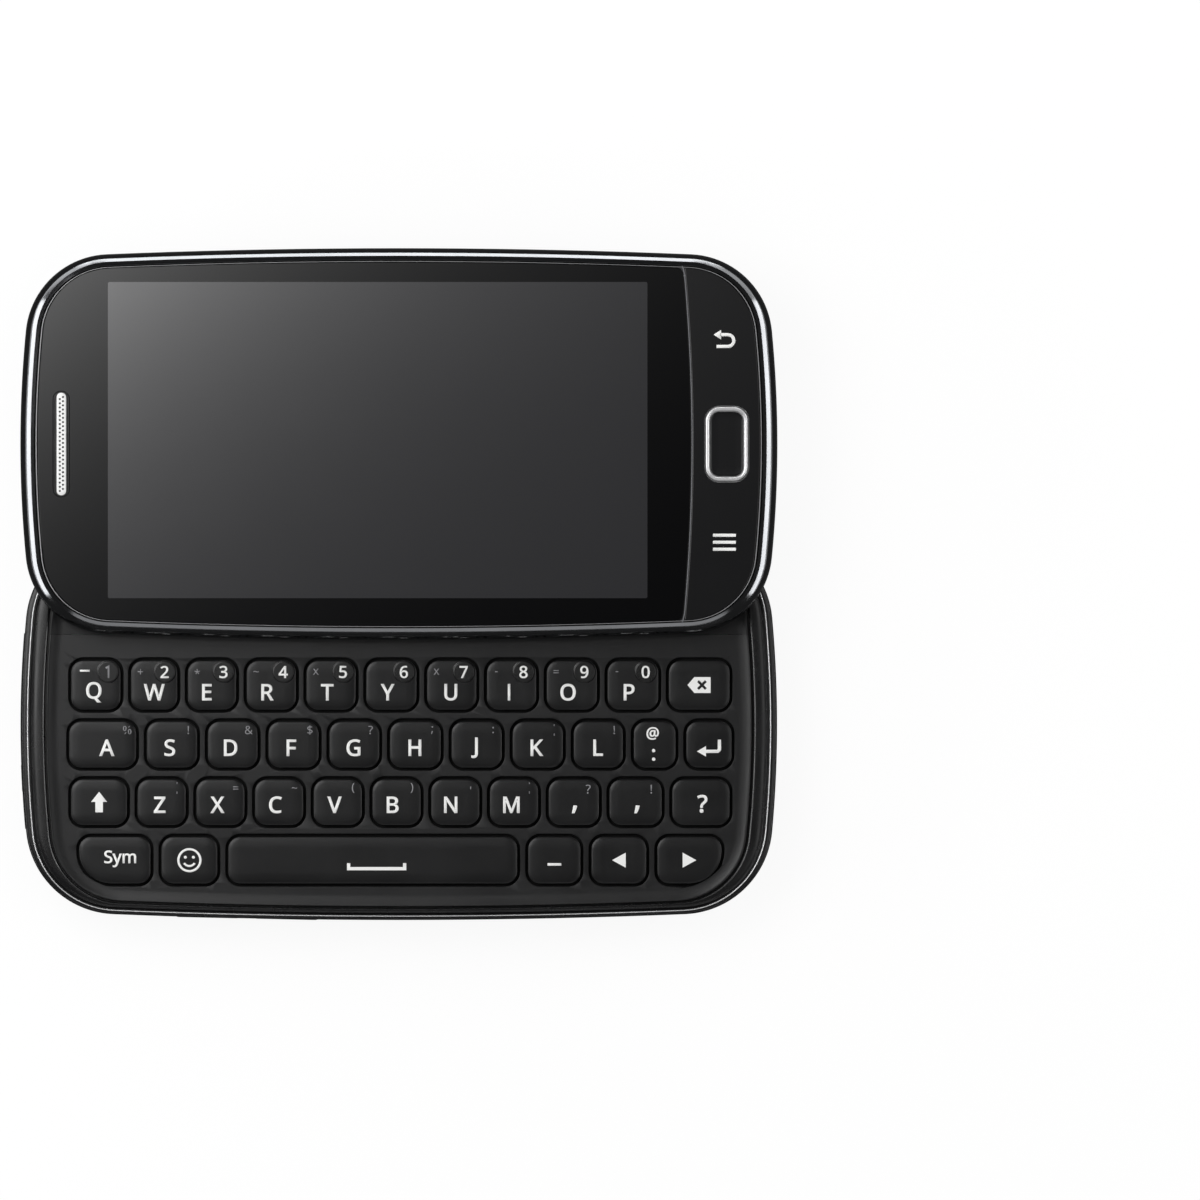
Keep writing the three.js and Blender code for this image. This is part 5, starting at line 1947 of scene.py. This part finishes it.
    def earpiece_outline(self, grow: float) -> Points:
        """The earpiece slot's outline, grown by a distance."""
        slot = Box.of("earpiece_grille")
        grow += self.seam_gap
        radius = ((slot.size.x + 2 * grow) / 2) * 0.97
        return [p - self.shift.xy for p in slot.outline(grow, radius, 8)]

    def home_outline(self, grow: float) -> Points:
        """The home key's outline, grown by a distance."""
        across, along = self.home_half
        middle = (Box.of("home_button").middle.x, 0)
        return rounded_about(middle, across + grow, along + grow, self.home_radius + grow, 10)

    def band(
        self, inner: tuple[float, float], outer: tuple[float, float], low: float, high: float
    ) -> MeshBuilder:
        """Builds a band round the glass between two pairs of insets and two heights."""
        section = ((*inner, low), (*outer, low), (*outer, high), (*inner, high))
        return MeshBuilder().sweep(self.plan.drawn, section, Ends.JOINED)

    def build_ring(self) -> None:
        """Builds the chrome ring with its step under the glass, the near-black gasket that paints shade into
        the gap, and the pale line that paints the glass edge's highlight.
        """
        foot, wall, slack = self.box.bottom, self.frame_wall, self.gasket_slack
        lip = (self.glass_end - self.ring_gap_end, self.glass_side - self.seam_gap)
        edge = self.glass_top - self.glass_edge / 2
        section = [(wall, foot)]
        section += soften([(end, side, foot + z, reach) for end, side, z, reach in self.ring_line])
        section += [(*lip, edge), (*lip, self.lcd_top), (wall, self.lcd_top)]
        shape = MeshBuilder().sweep(self.plan.drawn, section, Ends.JOINED)
        self.add(shape, "chrome_ring", Slot.RING, DARK_CHROME, ["display_frame"])
        low, high = self.lcd_top + slack, self.glass_top - self.gasket_depth
        inner = (self.glass_end - slack, self.glass_side - slack)
        # Near-black band in the gap between ring and glass: a gasket, and painted shade
        gasket_shade = self.band(inner, (lip[0] + slack, lip[1] + slack), low, high)
        self.add(gasket_shade, "glass_gasket_shade", Slot.RING, GAP_SHADE_RUBBER)
        # Pale plated band just outside the glass: a painted highlight of its polished edge
        edges = zip(self.hairline, self.side_hairline)
        near, far = [(self.glass_end - end, self.glass_side - side) for end, side in edges]
        self.add(self.band(near, far, low, edge), "glass_edge_highlight", Slot.RING, EDGE_HIGHLIGHT_NICKEL)

    def build_glass(self) -> None:
        """Builds the cover glass, the display area that shows in it, and the bright parting strip."""
        glass = self.plate(self.split(left=True), [self.earpiece_outline(0)])
        self.add(glass, "cover_glass", Slot.GLASS, BACK_PRINTED_GLASS, ["screen_glass"])
        area = rounded_rectangle(*self.window, self.window_corner, 3)
        top = self.glass_top + self.print_lift
        window = prism(area, top - 2 * self.print_lift, top)
        self.add(window, "display_area", Slot.LCD, POLARISER)
        reach, steps = self.strip_reach, self.strip_steps
        run = [-reach + 2 * reach * step / steps for step in range(steps + 1)]
        line = [(self.divider(y), y, self.strip_bend if abs(y) == reach else 0.0) for y in run]
        (x, y, _), (bend, rise) = line[-1], self.strip_hook
        hook = [(x - bend * 0.35, y + rise * 0.75, 0.5), (x - bend, y + rise, 0.0)]
        line = [(a, -b, c) for a, b, c in reversed(hook)] + line + hook
        outline = FlatArt().stroke([Vector(point) for point in soften(line)], self.strip_width)
        strip = prism(outline, self.glass_top - self.strip_depth, top)
        self.add(strip, "parting_strip", Slot.BRIGHT_METAL, DIM_SILVER)

    def build_panel(self) -> None:
        """Builds the side panel and the icons printed on it."""
        panel = self.plate(self.split(left=False), [self.home_outline(self.seam_gap)])
        self.add(panel, "side_panel", Slot.PANEL, BLACK_ACRYLIC, ["nav_panel"])
        icons = FlatArt()
        back = Vector((self.sign_x, self.back_y))
        line = placed(back, ((-0.6, 0.75), (0.55, 0.75)))
        line += arc(back + Vector((0.55, -0.15)), 0.9, math.pi / 2, -math.pi / 2, 8)[1:]
        icons.stroke([*line, *placed(back, ((-1.2, -1.05),))], self.back_width)
        icons.shape(placed(back, ((-1.65, 0.75), (-0.5, 0.0), (-0.5, 1.5))))
        for row in (-1, 0, 1):
            middle = Vector((self.sign_x, self.menu_y + row * self.menu_pitch))
            icons.shape(rounded_about(middle, *self.menu_half, 0.05, 1))
        icons.sheet.place(0, self.shift)
        film = icons.lay("side_icons", lambda x, y: self.glass_top, self.print_lift)
        finish_piece(film, self.body, Slot.PANEL, LEGEND_INK)

    def build_earpiece(self) -> None:
        """Builds the bright perforated bar of the earpiece and the dark well round it."""
        section = [(self.well_line[0][0], self.lcd_top + self.well_foot)]
        section += [(grow, self.glass_top - depth) for grow, depth in self.well_line]
        well = MeshBuilder().sweep(self.earpiece_outline, section)
        self.add(well, "earpiece_well", Slot.GRILLE, GLOSS_ABS, ["earpiece_grille"])
        x = Box.of("earpiece_grille").middle.x + self.bar_x
        holes = []
        for row in range(self.mesh_rows):
            side = 0.5 if row % 2 else -0.5
            y = (row - (self.mesh_rows - 1) / 2) * self.mesh_pitch
            holes.append(circle(Vector((x + side * self.mesh_pitch * 1.5, y)), self.mesh_hole, 10))

        def outline(inset: float) -> Points:
            """The bar's outline drawn in by a distance."""
            across, along = (half - inset for half in self.bar_half)
            return rounded_about((x, 0), across, along, across * 0.98, 8)

        top = self.glass_top - self.bar_depth
        section = [(inset, top - depth) for inset, depth in self.bar_line]
        bar = MeshBuilder().sweep(outline, section, Ends.OPEN)
        bar.pierced(outline(self.bar_line[-1][0]), outline(0), holes, top, top - self.bar_thickness)
        self.add(bar, "earpiece_mesh", Slot.GRILLE, SILVER_PAINT)

    def build_home(self) -> None:
        """Builds the home key: a bright ring round a dark dished cap, over a flange and a stem."""
        crest, foot = Box.of("home_button").top, Box.of("home_button").bottom
        flange_top = self.glass_bottom - self.home_gap
        wide, thick = self.home_flange
        flange_foot = flange_top - thick
        inside = self.home_ring_line[-1][0]
        section = [(inside, flange_foot, 0), (wide, flange_foot, 0.1), (wide, flange_top, 0.1)]
        section += [(0.0, flange_top, 0)]
        section += [(grow, crest - depth, reach) for grow, depth, reach in self.home_ring_line]
        ring = MeshBuilder().sweep(self.home_outline, soften(section, 7), Ends.JOINED)
        stem = circle(Vector((Box.of("home_button").middle.x, 0)), self.home_stem, 24)
        ring.loft([ring.ring(stem, foot), ring.ring(stem, flange_foot)])
        self.add(ring, "home_ring", Slot.HOME_KEY, NICKEL_AND_PAINTED_HIGHLIGHT, ["home_button"], "home_key")
        low = flange_top - self.home_cap_foot
        dish = [(-0.95, low, 0), (self.home_cap_line[0][0], low, 0)]
        dish += [(grow, crest - depth, reach) for grow, depth, reach in self.home_cap_line]
        cap = MeshBuilder().sweep(self.home_outline, soften(dish))
        self.add(cap, "home_cap", Slot.HOME_KEY, BLACK_ACRYLIC, (), "home_key")

    def build(self) -> None:
        """Builds the whole screen half."""
        self.build_ring()
        self.build_glass()
        self.build_panel()
        self.build_earpiece()
        self.build_home()
        dress_node("slide_carriage", CAST_ALLOY)
        dress_node("lcd_module", LCD_CAN)


@dataclass(frozen=True)
class Panel:
    """A flat light that hangs round the phone and faces it."""

    name: str
    bearing: float  # degrees from +X toward +Y
    elevation: float
    distance: float
    length: float
    width: float
    radiance: float

    def hang(self, target: Vector) -> None:
        """Hangs the light.

        Args:
            target: the point that it faces.
        """
        data = bpy.data.lights.new(self.name, "AREA")
        data.shape, data.size, data.size_y = "RECTANGLE", self.length, self.width
        data.energy = self.radiance * math.pi * self.length * self.width
        light = linked(self.name, data)
        bearing, elevation = math.radians(self.bearing), math.radians(self.elevation)
        level = math.cos(elevation)
        way = Vector((level * math.cos(bearing), level * math.sin(bearing), math.sin(elevation)))
        light.location = target + way * self.distance
        light.rotation_euler = (-way).to_track_quat("-Z", "Y").to_euler()
        light.visible_camera = False


@dataclass
class Studio:
    """Soft studio: white paper, strip lights low at the sides, and a dark card overhead."""

    camera_x: float = 30.84
    camera_y: float = 19.1
    frame_width: float = 184.75
    distance: float = 3.0
    sensor: float = 36.0
    panels: tuple[Panel, ...] = (
        Panel("strip_left", 180, 19, 0.45, 0.5, 0.05, 7.6),
        Panel("glow_left", 180, 9, 0.45, 0.5, 0.075, 1.6),
        Panel("strip_right", 0, 19, 0.45, 0.5, 0.05, 7.2),
        Panel("glow_right", 0, 9, 0.45, 0.5, 0.075, 1.3),
        Panel("strip_far", 90, 8, 0.45, 0.5, 0.05, 7),
        Panel("corner_right", 45, 14, 0.45, 0.4, 0.06, 2.0),
        Panel("corner_left", 135, 12, 0.45, 0.4, 0.05, 3.0),
        Panel("strip_near", 270, 46, 0.45, 0.5, 0.05, 1.3),
        Panel("fill_near", 270, 22, 0.45, 0.5, 0.025, 2.0),
        Panel("fill_right", 0, 58, 0.45, 0.25, 0.16, 0.9),
        Panel("soft_key", 150, 56, 0.36, 0.24, 0.22, 3.1),
    )
    ambient: float = 0.35  # light of the room on plain surfaces
    mirrored_room: float = 0.06  # brightness of the room in polished surfaces
    paper_half: tuple[float, float] = (2.0, 2.0)
    paper_z: float = -0.00002
    paper_white: float = 1.02
    paper_glow: float = 0.88  # share of the paper's white that keeps no shadow
    card_height: float = 0.5
    card_half: tuple[float, float] = (0.085, 0.047)
    card_place: tuple[float, float] = (-0.012, 0.047)
    glass_middle: tuple[float, float] = (0, 0.043)
    glow_floor: float = 0.06
    glow_slope: tuple[float, float] = (-0.03, 0.04)  # per millimetre on the glass
    glow_start: float = -0.95
    glow_cap: float = 5.0
    target: tuple[float, float, float] = (0, 0.02, 0)

    def build_camera(self) -> None:
        """Sets the camera that looks straight down."""
        data = bpy.data.cameras.new("studio_camera")
        data.sensor_width = self.sensor
        data.lens = self.sensor * self.distance / (self.frame_width * MM)
        data.clip_end = 20
        camera = linked("studio_camera", data)
        camera.location = (self.camera_x * MM, self.camera_y * MM, self.distance)
        bpy.context.scene.camera = camera

    @staticmethod
    def plane(name: str, half: tuple[float, float], place: Vector) -> Object:
        """Adds a rectangle that faces up.

        Args:
            name: its name.
            half: half its sides, in metres.
            place: its middle.

        Returns:
            The new object, marked as stage.
        """
        mesh = bpy.data.meshes.new(name)
        across, along = half
        corners = [(*p, 0) for p in plain_rectangle(-across, across, -along, along)]
        mesh.from_pydata(corners, [], [(0, 1, 2, 3)])
        square = linked(name, mesh)
        square.location = place
        return square

    def build_floor(self) -> None:
        """Lays the white paper: it keeps a faint shadow, and looks dark in polished edges."""
        floor = self.plane("studio_floor", self.paper_half, Vector((0, 0, self.paper_z)))
        material = blank_material("white_studio_paper")
        tree = material.node_tree
        ray = add_node(tree, "LightPath").outputs
        matt = {"Base Color": linear("#f7f7f7"), "Roughness": 0.9}
        paper = add_node(tree, "BsdfPrincipled", matt)
        white = linear("#ffffff")
        glow = add_node(tree, "Emission", {"Color": white, "Strength": self.paper_white})
        share = {0: ray["Is Camera Ray"], 1: self.paper_glow}
        seen = add_node(tree, "Math", share, {"operation": "MULTIPLY"})
        lit = add_node(tree, "MixShader", {0: seen, 1: paper, 2: glow})
        room = add_node(tree, "Emission", {"Color": white, "Strength": self.mirrored_room})
        both = add_node(tree, "MixShader", {0: ray["Is Glossy Ray"], 1: lit, 2: room})
        add_node(tree, "OutputMaterial", {"Surface": both})
        floor.data.materials.append(material)

    def build_world(self) -> None:
        """Makes the backdrop white to the camera, dim to plain surfaces and dark to polished ones."""
        world = bpy.data.worlds.new("white_studio")
        bpy.context.scene.world = world
        world.use_nodes = True
        tree = world.node_tree
        tree.nodes.clear()
        ray = add_node(tree, "LightPath").outputs
        levels = {"Value": ray["Is Glossy Ray"], "To Min": self.ambient, "To Max": self.mirrored_room}
        room = add_node(tree, "MapRange", levels)
        either = {0: room, 1: ray["Is Camera Ray"]}
        strength = add_node(tree, "Math", either, {"operation": "MAXIMUM"})
        sky = add_node(tree, "Background", {"Color": linear("#ffffff"), "Strength": strength})
        add_node(tree, "OutputWorld", {"Surface": sky})

    def build_card(self) -> None:
        """Hangs the dark card that the glass reflects, with a glow that fades from its far left."""
        card = self.plane("overhead_card", self.card_half, Vector((*self.card_place, self.card_height)))
        for ray in ("camera", "diffuse", "transmission", "shadow"):
            setattr(card, f"visible_{ray}", False)
        material = blank_material("grey_card")
        tree = material.node_tree
        place = add_node(tree, "TexCoord").outputs["Object"]
        lens = Vector((self.camera_x, self.camera_y)) * MM
        spread = 1 + self.card_height / self.distance
        seen = Vector(self.card_place) - (Vector(self.glass_middle) * spread - lens * (spread - 1))
        slope = [value / MM / spread for value in self.glow_slope]
        start = self.glow_start + seen.dot(Vector(slope))
        dot = {0: place, 1: (*slope, 0.0)}
        level = add_node(tree, "VectorMath", dot, {"operation": "DOT_PRODUCT"}).outputs["Value"]
        climb = (("ADD", start), ("EXPONENT", None), ("MINIMUM", self.glow_cap), ("ADD", self.glow_floor))
        for operation, value in climb:
            terms = {0: level} if value is None else {0: level, 1: value}
            level = add_node(tree, "Math", terms, {"operation": operation})
        glow = add_node(tree, "Emission", {"Color": linear("#ffffff"), "Strength": level})
        add_node(tree, "OutputMaterial", {"Surface": glow})
        card.data.materials.append(material)

    def build(self) -> None:
        """Builds the camera, the floor, the backdrop and the lights."""
        bpy.context.scene.view_settings.view_transform = "Standard"
        self.build_camera()
        self.build_floor()
        self.build_world()
        self.build_card()
        for panel in self.panels:
            panel.hang(Vector(self.target))


def main() -> None:
    """Builds the pieces in order, then the studio."""
    logging.basicConfig(level=logging.INFO, format="%(name)s: %(message)s")
    deck = Deck(Box.of("lower_housing"), Box.of("battery_cover"))
    deck.build()
    keypad = Keypad()
    keypad.build()
    Bezel(deck.plan, Box.of("keypad_bezel")).build(list(keypad.keys.values()))
    DisplayHalf(Box.of("display_frame")).build()
    Studio().build()


if __name__ == "__main__":
    main()
